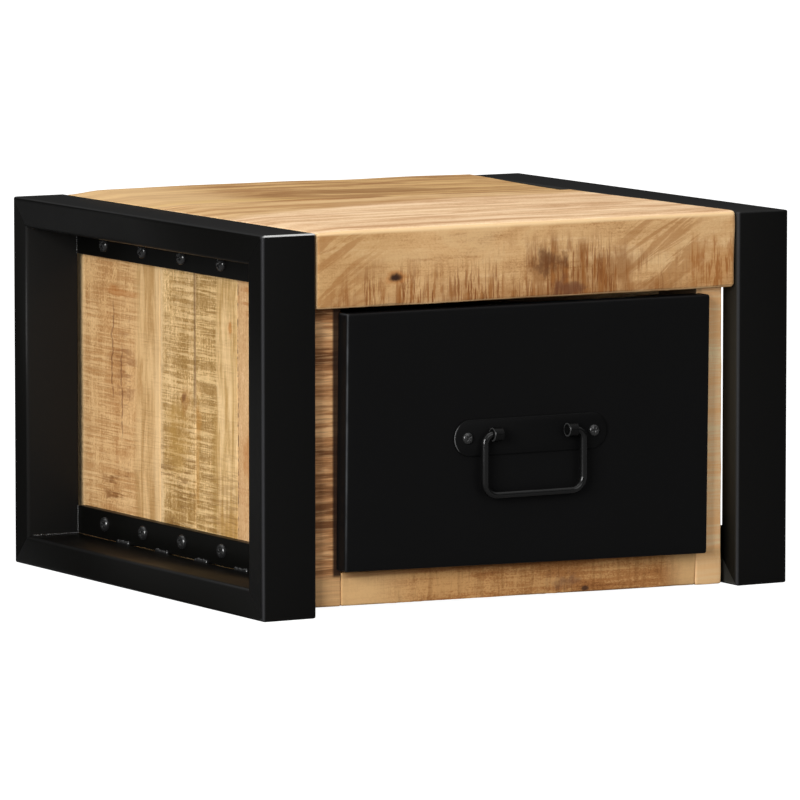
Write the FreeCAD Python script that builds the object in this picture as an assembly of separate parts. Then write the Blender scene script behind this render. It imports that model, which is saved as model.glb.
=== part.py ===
import FreeCAD, Part
import math
import os

# Side table with one drawer: a wooden case held between two welded steel frames.
# Millimetres. +X to the right, +Y to the back, +Z up. The origin is on the floor, under
# the middle of the whole table, handle included.

# Overall
WIDTH = 400.0
FRAME_DEPTH = 350.0
FRAME_HEIGHT = 250.0

# Steel frames: rectangular tube, mitred and welded, with flat-bar flanges inside
TUBE_WIDE = 40.0
TUBE_THIN = 20.0
TUBE_WALL = 1.5
TUBE_CORNER = 2.5
FLANGE_HIGH = 19.0
FLANGE_THICK = 6.0
FLANGE_LAP = 1.0
WELD_RADIUS = 2.2
WELD_LONG = 14.0
WELD_COUNT = 4

# Flange screws
SCREW_COUNT = 5
SCREW_PITCH = 55.0
SCREW_HEAD_R = 5.2
SCREW_HEAD_HIGH = 2.8
SCREW_SHANK_R = 2.2
SCREW_HOLE_R = 2.6
SCREW_LONG = 22.0
SCREW_FROM_RAIL = 10.0

# Wooden case
SIDE_THICK = 20.0
BOTTOM_THICK = 22.0
BACK_THICK = 12.0
BACK_INSET = 3.0
CASE_LIFT = 3.0
CASE_SETBACK = 12.5

# Top
TOP_THICK = 20.0
TOP_PROUD = 1.0
TOP_SIDE_GAP = 0.5
TOP_JOINT_FROM_FRONT = 212.0
APRON_HIGH = 51.0
APRON_THICK = 18.0
APRON_SETBACK = 1.5
APRON_ROUND = 2.5

# Strips under the top and beside the drawer
CLEAT_SIZE = 20.0
KICKER_SIZE = 18.0
KICKER_TOP_GAP = 1.5
KICKER_SETBACK = 40.0
STRIP_SCREW_R = 2.0
STRIP_SCREW_HEAD_R = 4.0
STRIP_SCREW_SINK = 2.5
CLEAT_SCREW_LONG = 32.0
CLEAT_SCREW_SPAN = 120.0
BACK_SCREW_LONG = 30.0

# Drawer
COVER_HALF_WIDTH = 138.0
COVER_BOTTOM = 26.0
COVER_TOP = 196.0
COVER_DEEP = 12.0
COVER_SHEET = 1.5
COVER_ROUND = 1.8
CORE_CLEARANCE = 0.1
BOX_BOARD = 12.0
BOX_SIDE_GAP = 1.5
BOX_LIFT = 0.5
BOX_TOP = 190.0
BOX_LONG = 313.0
BOX_BOTTOM_THICK = 5.0
BOX_BOTTOM_HEIGHT = 9.0
GROOVE_DEEP = 6.0
FRONT_SCREW_LONG = 20.0
FRONT_SCREW_X = 90.0
FRONT_SCREW_Z = (62.0, 160.0)
DRAWER_TRAVEL = 240.0

# Handle
PLATE_HALF_LONG = 58.0
PLATE_HIGH = 24.0
PLATE_THICK = 1.5
PLATE_SCREW_X = 48.0
PLATE_SCREW_LONG = 12.0
PLATE_SCREW_HEAD_R = 4.0
PLATE_SCREW_HEAD_HIGH = 2.0
PLATE_SCREW_SHANK_R = 1.75
HANDLE_Z = 111.0
PIVOT_RISE = 2.0
PIVOT_OUT = 5.5
EYE_R = 4.8
POST_X = (25.0, 32.0)
POST_STEM_R = 2.0
POST_STEM_LONG = 9.0
BAIL_R = 2.5
BAIL_CLEARANCE = 0.06
BAIL_HALF_WIDTH = 37.5
BAIL_DROP = 40.0
BAIL_ELBOW = 6.0
BAIL_CORNER = 9.0
BAIL_END_X = 24.5

# Worked out from the driving dimensions
HANDLE_REACH = PIVOT_OUT + EYE_R
FRONT = (HANDLE_REACH - FRAME_DEPTH) / 2
BACK = FRONT + FRAME_DEPTH
HALF_WIDTH = WIDTH / 2
FRAME_INNER_X = HALF_WIDTH - TUBE_WIDE
CASE_HALF_WIDTH = FRAME_INNER_X + FLANGE_LAP - FLANGE_THICK
BAY_HALF_WIDTH = CASE_HALF_WIDTH - SIDE_THICK
TOP_HALF_WIDTH = FRAME_INNER_X - TOP_SIDE_GAP
TOP_Z = FRAME_HEIGHT + TOP_PROUD
TOP_UNDER = TOP_Z - TOP_THICK
APRON_FRONT = FRONT + APRON_SETBACK
APRON_BACK = APRON_FRONT + APRON_THICK
APRON_BOTTOM = TOP_Z - APRON_HIGH
CASE_FRONT = FRONT + CASE_SETBACK
FLOOR_Z = CASE_LIFT + BOTTOM_THICK
PANEL_FRONT = BACK - BACK_INSET - BACK_THICK
COVER_BACK = FRONT + COVER_DEEP
BOX_HALF_WIDTH = BAY_HALF_WIDTH - BOX_SIDE_GAP
BOX_INNER_X = BOX_HALF_WIDTH - BOX_BOARD
BOX_BOTTOM = FLOOR_Z + BOX_LIFT
BOX_BACK = COVER_BACK + BOX_LONG
TRAY_Z = BOX_BOTTOM + BOX_BOTTOM_HEIGHT
PLATE_FRONT = FRONT - PLATE_THICK
PIVOT_Y = FRONT - PIVOT_OUT
PIVOT_Z = HANDLE_Z + PIVOT_RISE
SCREW_MID_Y = (CASE_FRONT + BACK) / 2
POST_MID_X = sum(POST_X) / 2
PIERCE = 5.0

X_AXIS = FreeCAD.Vector(1, 0, 0)
Y_AXIS = FreeCAD.Vector(0, 1, 0)
Z_AXIS = FreeCAD.Vector(0, 0, 1)
SIDES = {"left": -1, "right": 1}


def block(x, y, z):
    """A box between pairs of coordinates, given in either order."""
    low = [min(pair) for pair in (x, y, z)]
    high = [max(pair) for pair in (x, y, z)]
    return Part.makeBox(*[h - l for l, h in zip(low, high)], FreeCAD.Vector(*low))


def rod(start, direction, radius, length):
    return Part.makeCylinder(radius, length, FreeCAD.Vector(*start), direction)


def rounded(shape, axis, radius):
    """The shape with its straight edges along one axis rounded."""
    edges = [e for e in shape.Edges if abs(e.tangentAt(e.FirstParameter).dot(axis)) > 0.999]
    return shape.makeFillet(radius, edges)


def yz_prism(points, x0, x1):
    """A prism along X over a polygon of (y, z) points."""
    corners = [FreeCAD.Vector(x0, y, z) for y, z in points]
    face = Part.Face(Part.makePolygon(corners + corners[:1]))
    return face.extrude(FreeCAD.Vector(x1 - x0, 0, 0))


def with_holes(shape, holes):
    for hole in holes:
        shape = shape.cut(hole)
    return shape


# Fasteners. Each is built at its seat, with its head along "out".


def cross_recess(radius, depth, top):
    """The cross in a screw's head, standing on +Z with its mouth at height top."""
    arm = radius * 0.55
    half = radius * 0.11
    along = block((-arm, arm), (-half, half), (top - depth, top + PIERCE))
    across = block((-half, half), (-arm, arm), (top - depth, top + PIERCE))
    return along.fuse(across)


def placed(shape, seat, out):
    turn = FreeCAD.Rotation(Z_AXIS, out)
    return shape.transformed(FreeCAD.Placement(FreeCAD.Vector(*seat), turn).toMatrix())


def pan_screw(seat, out, head_r, head_high, shank_r, length):
    """A round-headed screw: its head stands on the seat and its shank goes in."""
    head = rod((0, 0, 0), Z_AXIS, head_r, head_high)
    rim = [e for e in head.Edges if e.BoundBox.ZMin > head_high * 0.9]
    head = head.makeFillet(head_high * 0.7, rim)
    shank = rod((0, 0, -length), Z_AXIS, shank_r, length)
    screw = head.fuse(shank).removeSplitter()
    return placed(screw.cut(cross_recess(head_r, head_high * 0.6, head_high)), seat, out)


def sunk_screw(seat, out, length):
    """A countersunk screw, flush with the seat."""
    cone = Part.makeCone(
        STRIP_SCREW_R, STRIP_SCREW_HEAD_R, STRIP_SCREW_SINK,
        FreeCAD.Vector(0, 0, -STRIP_SCREW_SINK), Z_AXIS)
    shank = rod((0, 0, -length), Z_AXIS, STRIP_SCREW_R, length - STRIP_SCREW_SINK)
    screw = cone.fuse(shank).removeSplitter()
    recess = cross_recess(STRIP_SCREW_HEAD_R, STRIP_SCREW_SINK * 0.6, 0)
    return placed(screw.cut(recess), seat, out)


def sunk_hole(seat, out, length):
    """What a countersunk screw takes out of the wood, so that the two meet exactly."""
    cone = Part.makeCone(
        STRIP_SCREW_R, STRIP_SCREW_HEAD_R, STRIP_SCREW_SINK,
        FreeCAD.Vector(0, 0, -STRIP_SCREW_SINK), Z_AXIS)
    shank = rod((0, 0, -length), Z_AXIS, STRIP_SCREW_R, length)
    return placed(cone.fuse(shank), seat, out)


# Steel frames


def tube(x, y, z, axis):
    """A hollow tube filling the box, with rounded long edges, running along an axis."""
    outer = rounded(block(x, y, z), axis, TUBE_CORNER)
    spans = []
    for pair, direction in ((x, X_AXIS), (y, Y_AXIS), (z, Z_AXIS)):
        inset = -PIERCE if direction.isEqual(axis, 1e-6) else TUBE_WALL
        spans.append((min(pair) + inset, max(pair) - inset))
    return outer.cut(block(*spans))


def frame_tubes(side):
    """Two legs and two rails in a closed rectangle, cut at 45 degrees at the corners."""
    x = (side * FRAME_INNER_X, side * HALF_WIDTH)
    inner_front = FRONT + TUBE_THIN
    inner_back = BACK - TUBE_THIN
    inner_top = FRAME_HEIGHT - TUBE_THIN
    corners = {
        "front_bottom": ((FRONT, 0.0), (inner_front, TUBE_THIN)),
        "front_top": ((FRONT, FRAME_HEIGHT), (inner_front, inner_top)),
        "back_bottom": ((BACK, 0.0), (inner_back, TUBE_THIN)),
        "back_top": ((BACK, FRAME_HEIGHT), (inner_back, inner_top)),
    }
    runs = {
        "front_leg": ("front_bottom", "front_top", Z_AXIS),
        "rear_leg": ("back_bottom", "back_top", Z_AXIS),
        "top_rail": ("front_top", "back_top", Y_AXIS),
        "bottom_rail": ("front_bottom", "back_bottom", Y_AXIS),
    }
    made = {}
    for name, (first, last, axis) in runs.items():
        outline = [*corners[first], *reversed(corners[last])]
        y = [p[0] for p in outline]
        z = [p[1] for p in outline]
        bar = tube(x, (min(y), max(y)), (min(z), max(z)), axis)
        made[name] = bar.common(yz_prism(outline, min(x) - PIERCE, max(x) + PIERCE))
    return made


def flange_span(side, level):
    """X, Y and Z ranges of the flat bar under the top rail or over the bottom rail."""
    x = (side * CASE_HALF_WIDTH, side * (CASE_HALF_WIDTH + FLANGE_THICK))
    y = (FRONT + TUBE_THIN, BACK - TUBE_THIN)
    if level == "top":
        rail_face = FRAME_HEIGHT - TUBE_THIN
        return x, y, (rail_face - FLANGE_HIGH, rail_face)
    return x, y, (TUBE_THIN, TUBE_THIN + FLANGE_HIGH)


def flange_screw_seats(side, level):
    z = FRAME_HEIGHT - TUBE_THIN - SCREW_FROM_RAIL if level == "top" else TUBE_THIN + SCREW_FROM_RAIL
    outer_x = side * (CASE_HALF_WIDTH + FLANGE_THICK)
    first = SCREW_MID_Y - SCREW_PITCH * (SCREW_COUNT - 1) / 2
    return [(outer_x, first + SCREW_PITCH * i, z) for i in range(SCREW_COUNT)]


def flange(side, level):
    bar = block(*flange_span(side, level))
    inner_x = side * (CASE_HALF_WIDTH - PIERCE)
    long = FLANGE_THICK + 2 * PIERCE
    holes = [
        rod((inner_x, y, z), X_AXIS * side, SCREW_HOLE_R, long)
        for _, y, z in flange_screw_seats(side, level)
    ]
    return with_holes(bar, holes)


def flange_screws(side, level):
    return Part.makeCompound([
        pan_screw(seat, X_AXIS * side, SCREW_HEAD_R, SCREW_HEAD_HIGH, SCREW_SHANK_R, SCREW_LONG)
        for seat in flange_screw_seats(side, level)
    ])


def weld_beads(side, level, rail):
    """Short fillet welds where the flange's outer face meets the rail, between the screws."""
    x, y, z = flange_span(side, level)
    outer_x = side * max(abs(v) for v in x)
    seam_z = max(z) if level == "top" else min(z)
    seats = flange_screw_seats(side, level)
    bar = block(x, y, z)
    under_rail = block((side * FRAME_INNER_X, side * HALF_WIDTH), y, (0, FRAME_HEIGHT))
    beads = []
    for index in range(WELD_COUNT):
        mid = (seats[index][1] + seats[index + 1][1]) / 2
        start = (outer_x, mid - WELD_LONG / 2, seam_z)
        bead = rod(start, Y_AXIS, WELD_RADIUS, WELD_LONG)
        solid = bead.common(under_rail).cut(bar).cut(rail)
        beads.append(max(solid.Solids, key=lambda s: s.Volume))
    return beads


# Wooden case


def top_and_apron():
    """The two top boards and the apron, whose meeting edges at the front are mitred."""
    x = (-TOP_HALF_WIDTH, TOP_HALF_WIDTH)
    joint_y = APRON_FRONT + TOP_JOINT_FROM_FRONT
    slab = block(x, (APRON_FRONT, BACK), (TOP_UNDER, TOP_Z))
    shape = slab.fuse(block(x, (APRON_FRONT, APRON_BACK), (APRON_BOTTOM, TOP_Z))).removeSplitter()
    front_edges = [
        e for e in shape.Edges
        if e.BoundBox.YMax < APRON_FRONT + 0.01
    ]
    shape = shape.makeFillet(APRON_ROUND, front_edges)
    wide = (-TOP_HALF_WIDTH - PIERCE, TOP_HALF_WIDTH + PIERCE)
    slope = TOP_THICK / APRON_THICK
    outer = (APRON_FRONT - PIERCE, TOP_Z + PIERCE * slope)
    inner = (APRON_BACK, TOP_UNDER)
    below = [outer, inner, (APRON_BACK, APRON_BOTTOM - PIERCE), (outer[0], APRON_BOTTOM - PIERCE)]
    apron = shape.common(yz_prism(below, *wide))
    top = shape.cut(yz_prism(below, *wide))
    ahead = block(wide, (APRON_FRONT - PIERCE, joint_y), (APRON_BOTTOM - PIERCE, TOP_Z + PIERCE))
    front_board = with_holes(top.common(ahead), cleat_holes())
    back_board = with_holes(top.cut(ahead), cleat_holes())
    return {
        "top_front_board": front_board,
        "top_back_board": back_board,
        "top_front_apron": apron,
    }


def side_panel(side):
    """A side of the case, notched at the front round the apron."""
    inner = side * BAY_HALF_WIDTH
    outer = side * CASE_HALF_WIDTH
    panel = block((inner, outer), (CASE_FRONT, BACK), (CASE_LIFT, TOP_UNDER))
    notch = block((inner - side * PIERCE, outer + side * PIERCE),
                  (CASE_FRONT - PIERCE, APRON_BACK), (APRON_BOTTOM, TOP_Z))
    pilot = SCREW_LONG - FLANGE_THICK
    holes = [
        rod((outer, y, z), X_AXIS * -side, SCREW_SHANK_R, pilot)
        for level in ("top", "bottom")
        for _, y, z in flange_screw_seats(side, level)
    ]
    return with_holes(panel.cut(notch), holes)


def bottom_board():
    board = block((-BAY_HALF_WIDTH, BAY_HALF_WIDTH), (CASE_FRONT, PANEL_FRONT),
                  (CASE_LIFT, FLOOR_Z))
    return with_holes(board, back_holes())


def back_panel():
    panel = block((-BAY_HALF_WIDTH, BAY_HALF_WIDTH),
                  (PANEL_FRONT, PANEL_FRONT + BACK_THICK), (CASE_LIFT, TOP_UNDER))
    return with_holes(panel, back_holes())


def strip(side, size, top, setback=0.0):
    """A square strip on the inner face of a side panel."""
    inner = side * (BAY_HALF_WIDTH - size)
    bar = block((inner, side * BAY_HALF_WIDTH), (APRON_BACK + setback, PANEL_FRONT),
                (top - size, top))
    return with_holes(bar, cleat_holes() + back_holes())


def cleat_screw_seats():
    x = BAY_HALF_WIDTH - CLEAT_SIZE / 2
    return [
        (side * x, SCREW_MID_Y + step * CLEAT_SCREW_SPAN, TOP_UNDER - CLEAT_SIZE)
        for side in SIDES.values()
        for step in (-1, 0, 1)
    ]


def cleat_holes():
    return [sunk_hole(seat, Z_AXIS * -1, CLEAT_SCREW_LONG) for seat in cleat_screw_seats()]


def back_screw_seats():
    """Screws through the back panel into the bottom board and the ends of the strips."""
    y = PANEL_FRONT + BACK_THICK
    floor_row = [(x, y, CASE_LIFT + BOTTOM_THICK / 2) for x in (-90.0, 0.0, 90.0)]
    strip_x = BAY_HALF_WIDTH - CLEAT_SIZE / 2
    strip_row = [(side * strip_x, y, TOP_UNDER - CLEAT_SIZE / 2) for side in SIDES.values()]
    return floor_row + strip_row


def back_holes():
    return [sunk_hole(seat, Y_AXIS, BACK_SCREW_LONG) for seat in back_screw_seats()]


# Drawer


def handle_holes():
    """Holes for the handle's screws and post stems, through the plate, cover and core."""
    made = []
    for side in SIDES.values():
        seats = ((PLATE_SCREW_X, HANDLE_Z, PLATE_SCREW_SHANK_R, PLATE_SCREW_LONG),
                 (POST_MID_X, PIVOT_Z, POST_STEM_R, POST_STEM_LONG))
        for x, z, radius, length in seats:
            made.append(rod((side * x, PLATE_FRONT, z), Y_AXIS, radius, length))
    return made


def front_screw_seats():
    y = COVER_BACK + BOX_BOARD
    return [(side * FRONT_SCREW_X, y, z) for side in SIDES.values() for z in FRONT_SCREW_Z]


def front_screw_holes():
    return [
        rod(seat, Y_AXIS * -1, SCREW_SHANK_R, FRONT_SCREW_LONG)
        for seat in front_screw_seats()
    ]


def drawer_front_cover():
    """A shallow steel pan over the drawer's front, open at the back."""
    x = (-COVER_HALF_WIDTH, COVER_HALF_WIDTH)
    z = (COVER_BOTTOM, COVER_TOP)
    pan = rounded(block(x, (FRONT, COVER_BACK), z), Y_AXIS, COVER_ROUND)
    front_edges = [e for e in pan.Edges if e.BoundBox.YMax < FRONT + 0.01]
    pan = pan.makeFillet(COVER_ROUND * 0.9, front_edges)
    hollow = block([v - math.copysign(COVER_SHEET, v) for v in x],
                   (FRONT + COVER_SHEET, COVER_BACK + PIERCE),
                   (COVER_BOTTOM + COVER_SHEET, COVER_TOP - COVER_SHEET))
    return with_holes(pan.cut(hollow), handle_holes())


def drawer_front_core():
    inset = COVER_SHEET + CORE_CLEARANCE
    half = COVER_HALF_WIDTH - inset
    board = block((-half, half), (FRONT + COVER_SHEET, COVER_BACK),
                  (COVER_BOTTOM + inset, COVER_TOP - inset))
    return with_holes(board, handle_holes() + front_screw_holes())


def tray():
    """The drawer's thin bottom, which sits in grooves in the sides and the box front."""
    half = BOX_INNER_X + GROOVE_DEEP
    return block((-half, half), (COVER_BACK + GROOVE_DEEP, BOX_BACK),
                 (TRAY_Z, TRAY_Z + BOX_BOTTOM_THICK))


def drawer_box():
    y = (COVER_BACK, BOX_BACK)
    z = (BOX_BOTTOM, BOX_TOP)
    inner = (-BOX_INNER_X, BOX_INNER_X)
    front = block(inner, (COVER_BACK, COVER_BACK + BOX_BOARD), z)
    made = {
        "drawer_box_front": with_holes(front.cut(tray()), front_screw_holes()),
        "drawer_back": block(inner, (BOX_BACK - BOX_BOARD, BOX_BACK),
                             (TRAY_Z + BOX_BOTTOM_THICK, BOX_TOP)),
        "drawer_bottom": tray(),
    }
    for name, side in SIDES.items():
        board = block((side * BOX_INNER_X, side * BOX_HALF_WIDTH), y, z)
        made[f"drawer_{name}_side"] = board.cut(tray())
    return made


def drawer_front_screws():
    return Part.makeCompound([
        pan_screw(seat, Y_AXIS, PLATE_SCREW_HEAD_R, PLATE_SCREW_HEAD_HIGH, SCREW_SHANK_R,
                  FRONT_SCREW_LONG)
        for seat in front_screw_seats()
    ])


# Handle


def handle_plate():
    """A flat plate with half-round ends."""
    radius = PLATE_HIGH / 2
    straight = PLATE_HALF_LONG - radius
    plate = block((-straight, straight), (PLATE_FRONT, FRONT),
                  (HANDLE_Z - radius, HANDLE_Z + radius))
    for side in SIDES.values():
        plate = plate.fuse(rod((side * straight, PLATE_FRONT, HANDLE_Z), Y_AXIS, radius,
                               PLATE_THICK))
    return with_holes(plate.removeSplitter(), handle_holes())


def handle_post(side):
    """An eye on a stem that is riveted through the plate; the bail's end turns in it."""
    start = min(side * POST_X[0], side * POST_X[1])
    wide = POST_X[1] - POST_X[0]
    eye = rod((start, PIVOT_Y, PIVOT_Z), X_AXIS, EYE_R, wide)
    eye = eye.common(block((start, start + wide), (PIVOT_Y - EYE_R, PLATE_FRONT),
                           (PIVOT_Z - EYE_R, PIVOT_Z + EYE_R)))
    neck = block((start, start + wide), (PIVOT_Y, PLATE_FRONT),
                 (PIVOT_Z - EYE_R, PIVOT_Z + EYE_R))
    stem = rod((side * POST_MID_X, PLATE_FRONT, PIVOT_Z), Y_AXIS, POST_STEM_R, POST_STEM_LONG)
    hole = rod((start - PIERCE, PIVOT_Y, PIVOT_Z), X_AXIS, BAIL_R + BAIL_CLEARANCE,
               wide + 2 * PIERCE)
    return eye.fuse(neck).fuse(stem).removeSplitter().cut(hole)


def handle_screws():
    return Part.makeCompound([
        pan_screw((side * PLATE_SCREW_X, PLATE_FRONT, HANDLE_Z), Y_AXIS * -1,
                  PLATE_SCREW_HEAD_R, PLATE_SCREW_HEAD_HIGH, PLATE_SCREW_SHANK_R,
                  PLATE_SCREW_LONG)
        for side in SIDES.values()
    ])


def bail_point(x, z):
    return FreeCAD.Vector(x, PIVOT_Y, z)


def bail_bend(centre, radius, start_angle, end_angle):
    """A quarter bend in the bail's plane; angles are from +X towards +Z."""
    points = []
    for angle in (start_angle, (start_angle + end_angle) / 2, end_angle):
        turn = math.radians(angle)
        points.append(bail_point(centre[0] + radius * math.cos(turn),
                                 centre[1] + radius * math.sin(turn)))
    return Part.Arc(*points)


def handle_bail():
    """A round bar bent to a U, with its ends turned in to the two posts."""
    low = PIVOT_Z - BAIL_DROP
    elbow_x = BAIL_HALF_WIDTH - BAIL_ELBOW
    corner_x = BAIL_HALF_WIDTH - BAIL_CORNER
    elbow_z = PIVOT_Z - BAIL_ELBOW
    corner_z = low + BAIL_CORNER
    pieces = [
        Part.LineSegment(bail_point(-BAIL_END_X, PIVOT_Z), bail_point(-elbow_x, PIVOT_Z)),
        bail_bend((-elbow_x, elbow_z), BAIL_ELBOW, 90, 180),
        Part.LineSegment(bail_point(-BAIL_HALF_WIDTH, elbow_z),
                         bail_point(-BAIL_HALF_WIDTH, corner_z)),
        bail_bend((-corner_x, corner_z), BAIL_CORNER, 180, 270),
        Part.LineSegment(bail_point(-corner_x, low), bail_point(corner_x, low)),
        bail_bend((corner_x, corner_z), BAIL_CORNER, 270, 360),
        Part.LineSegment(bail_point(BAIL_HALF_WIDTH, corner_z),
                         bail_point(BAIL_HALF_WIDTH, elbow_z)),
        bail_bend((elbow_x, elbow_z), BAIL_ELBOW, 0, 90),
        Part.LineSegment(bail_point(elbow_x, PIVOT_Z), bail_point(BAIL_END_X, PIVOT_Z)),
    ]
    path = Part.Wire([piece.toShape() for piece in pieces])
    section = Part.Wire(Part.makeCircle(BAIL_R, bail_point(-BAIL_END_X, PIVOT_Z), X_AXIS))
    return path.makePipeShell([section], True, False)


def all_nodes():
    nodes = {}
    for name, side in SIDES.items():
        tubes = frame_tubes(side)
        beads = []
        for level in ("top", "bottom"):
            nodes[f"{name}_{level}_flange"] = flange(side, level)
            nodes[f"{name}_{level}_flange_screws"] = flange_screws(side, level)
            beads += weld_beads(side, level, tubes[f"{level}_rail"])
        nodes[f"{name}_weld_beads"] = Part.makeCompound(beads)
        for run, shape in tubes.items():
            nodes[f"{name}_{run}"] = shape
        nodes[f"{name}_side_panel"] = side_panel(side)
        nodes[f"{name}_top_cleat"] = strip(side, CLEAT_SIZE, TOP_UNDER)
        kicker_top = BOX_TOP + KICKER_TOP_GAP + KICKER_SIZE
        nodes[f"{name}_kicker"] = strip(side, KICKER_SIZE, kicker_top, KICKER_SETBACK)
        nodes[f"handle_{name}_post"] = handle_post(side)
    nodes.update(top_and_apron())
    nodes["bottom_board"] = bottom_board()
    nodes["back_panel"] = back_panel()
    nodes["cleat_screws"] = Part.makeCompound(
        [sunk_screw(seat, Z_AXIS * -1, CLEAT_SCREW_LONG) for seat in cleat_screw_seats()])
    nodes["back_panel_screws"] = Part.makeCompound(
        [sunk_screw(seat, Y_AXIS, BACK_SCREW_LONG) for seat in back_screw_seats()])
    nodes["drawer_front_cover"] = drawer_front_cover()
    nodes["drawer_front_core"] = drawer_front_core()
    nodes.update(drawer_box())
    nodes["drawer_front_screws"] = drawer_front_screws()
    nodes["handle_plate"] = handle_plate()
    nodes["handle_screws"] = handle_screws()
    nodes["handle_bail"] = handle_bail()
    return nodes


def main():
    os.makedirs("parts", exist_ok=True)
    nodes = all_nodes()
    for name, shape in sorted(nodes.items()):
        if not shape.isValid() or not shape.Solids:
            raise ValueError(f"{name} is not a valid solid")
        shape.exportStep(f"parts/{name}.step")
        print(f"{name}: {len(shape.Solids)} solid(s), {shape.Volume / 1000:.1f} cm3")
    whole = Part.makeCompound(list(nodes.values())).BoundBox
    print(f"{len(nodes)} nodes, {whole.XLength:.1f} x {whole.YLength:.1f} x {whole.ZLength:.1f} mm")
    print(f"Y from {whole.YMin:.2f} to {whole.YMax:.2f}, drawer travel {DRAWER_TRAVEL:.0f} mm")
    print(f"handle pivot at Y {PIVOT_Y:.2f}, Z {PIVOT_Z:.2f}")


main()
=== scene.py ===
"""Side table with drawer: rough mango boards held between two welded black steel frames.

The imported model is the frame, in metres. Each operator makes one group of pieces around it.
"""

import math

import bmesh
import bpy
from bpy.props import FloatProperty, FloatVectorProperty, PointerProperty
from bpy.types import Operator, Panel, PropertyGroup
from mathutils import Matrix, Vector, noise


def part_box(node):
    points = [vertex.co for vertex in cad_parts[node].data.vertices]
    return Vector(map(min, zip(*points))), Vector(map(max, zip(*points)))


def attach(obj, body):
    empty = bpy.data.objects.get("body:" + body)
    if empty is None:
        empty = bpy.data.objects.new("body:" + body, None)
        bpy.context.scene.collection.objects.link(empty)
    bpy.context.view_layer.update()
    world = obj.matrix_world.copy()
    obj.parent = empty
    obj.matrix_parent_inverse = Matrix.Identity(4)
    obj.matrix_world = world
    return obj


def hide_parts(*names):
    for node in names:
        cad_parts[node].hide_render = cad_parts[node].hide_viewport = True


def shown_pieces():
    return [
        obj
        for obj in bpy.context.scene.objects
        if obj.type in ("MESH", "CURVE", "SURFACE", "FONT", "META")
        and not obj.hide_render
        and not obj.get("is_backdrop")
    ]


bl_info = {
    "name": "Side table with drawer",
    "version": (1, 0, 0),
    "blender": (4, 5, 0),
    "location": "View3D > Sidebar > Side table",
    "description": "Builds the boards, steel and handle of a small side table around its CAD frame",
    "category": "Object",
}

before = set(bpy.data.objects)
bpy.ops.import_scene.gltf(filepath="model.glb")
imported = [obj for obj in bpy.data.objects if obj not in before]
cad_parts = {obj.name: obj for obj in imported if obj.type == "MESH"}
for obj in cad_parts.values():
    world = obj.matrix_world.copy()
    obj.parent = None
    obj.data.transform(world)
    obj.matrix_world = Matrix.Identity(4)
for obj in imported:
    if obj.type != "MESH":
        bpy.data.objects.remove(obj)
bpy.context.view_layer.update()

MM = 0.001
ARC_STEPS = 3
DEEP = 50 * MM  # how far a mark on a board's face reaches into it
SIDES = {"left": -1, "right": 1}


# Properties


def colour(name, description, default):
    return FloatVectorProperty(
        name=name, description=description, default=(*default, 1.0), size=4, min=0, max=1,
        subtype="COLOR")


def length(name, description, default):
    return FloatProperty(
        name=name, description=description, default=default, min=0, unit="LENGTH", precision=5)


def share(name, description, default):
    return FloatProperty(
        name=name, description=description, default=default, min=0, max=1, subtype="FACTOR")


class WoodProperties(PropertyGroup):
    """Sizes and colours of the boards."""

    arris: length("Arris", "Radius worn on the edges of the thick boards", 2.6 * MM)
    thin_arris: length("Thin arris", "Radius on the edges of the thin boards", 1.0 * MM)
    saw_pitch: length("Saw pitch", "Distance between the saw's marks across a board", 2.6 * MM)
    saw_depth: length("Saw depth", "Depth of the saw's marks in the mesh", 0.16 * MM)
    sway: length("Sway", "Height of the slow waves in a board's face", 0.35 * MM)
    pink: colour("Pink board", "The pinkish wood at the front of the top", (0.70, 0.455, 0.255))
    olive: colour("Olive board", "The darker wood at the back of the top", (0.53, 0.315, 0.135))
    honey: colour("Honey board", "The apron under the top's front edge", (0.60, 0.36, 0.16))
    tan: colour("Tan board", "The boards of the case's sides", (0.636, 0.380, 0.163))
    green: colour("Green board", "The greenish boards in the middle", (0.609, 0.386, 0.160))
    rose: colour("Rose board", "The pinkish boards at the case's front", (0.62, 0.38, 0.18))
    chestnut: colour("Chestnut board", "The browner boards of the case", (0.380, 0.162, 0.049))
    cream: colour("Cream sapwood", "Pale sapwood strips", (0.76, 0.53, 0.28))
    brown: colour("Brown", "Streaks and saw marks", (0.20, 0.070, 0.014))
    rust: colour("Rust", "Reddish stains", (0.40, 0.135, 0.022))
    moss: colour("Moss", "Olive saw marks", (0.29, 0.155, 0.040))
    umber: colour("Umber", "Knots and cracks", (0.055, 0.022, 0.012))
    plain: colour("Plain wood", "Planed boards of the drawer", (0.60, 0.41, 0.22))


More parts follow.
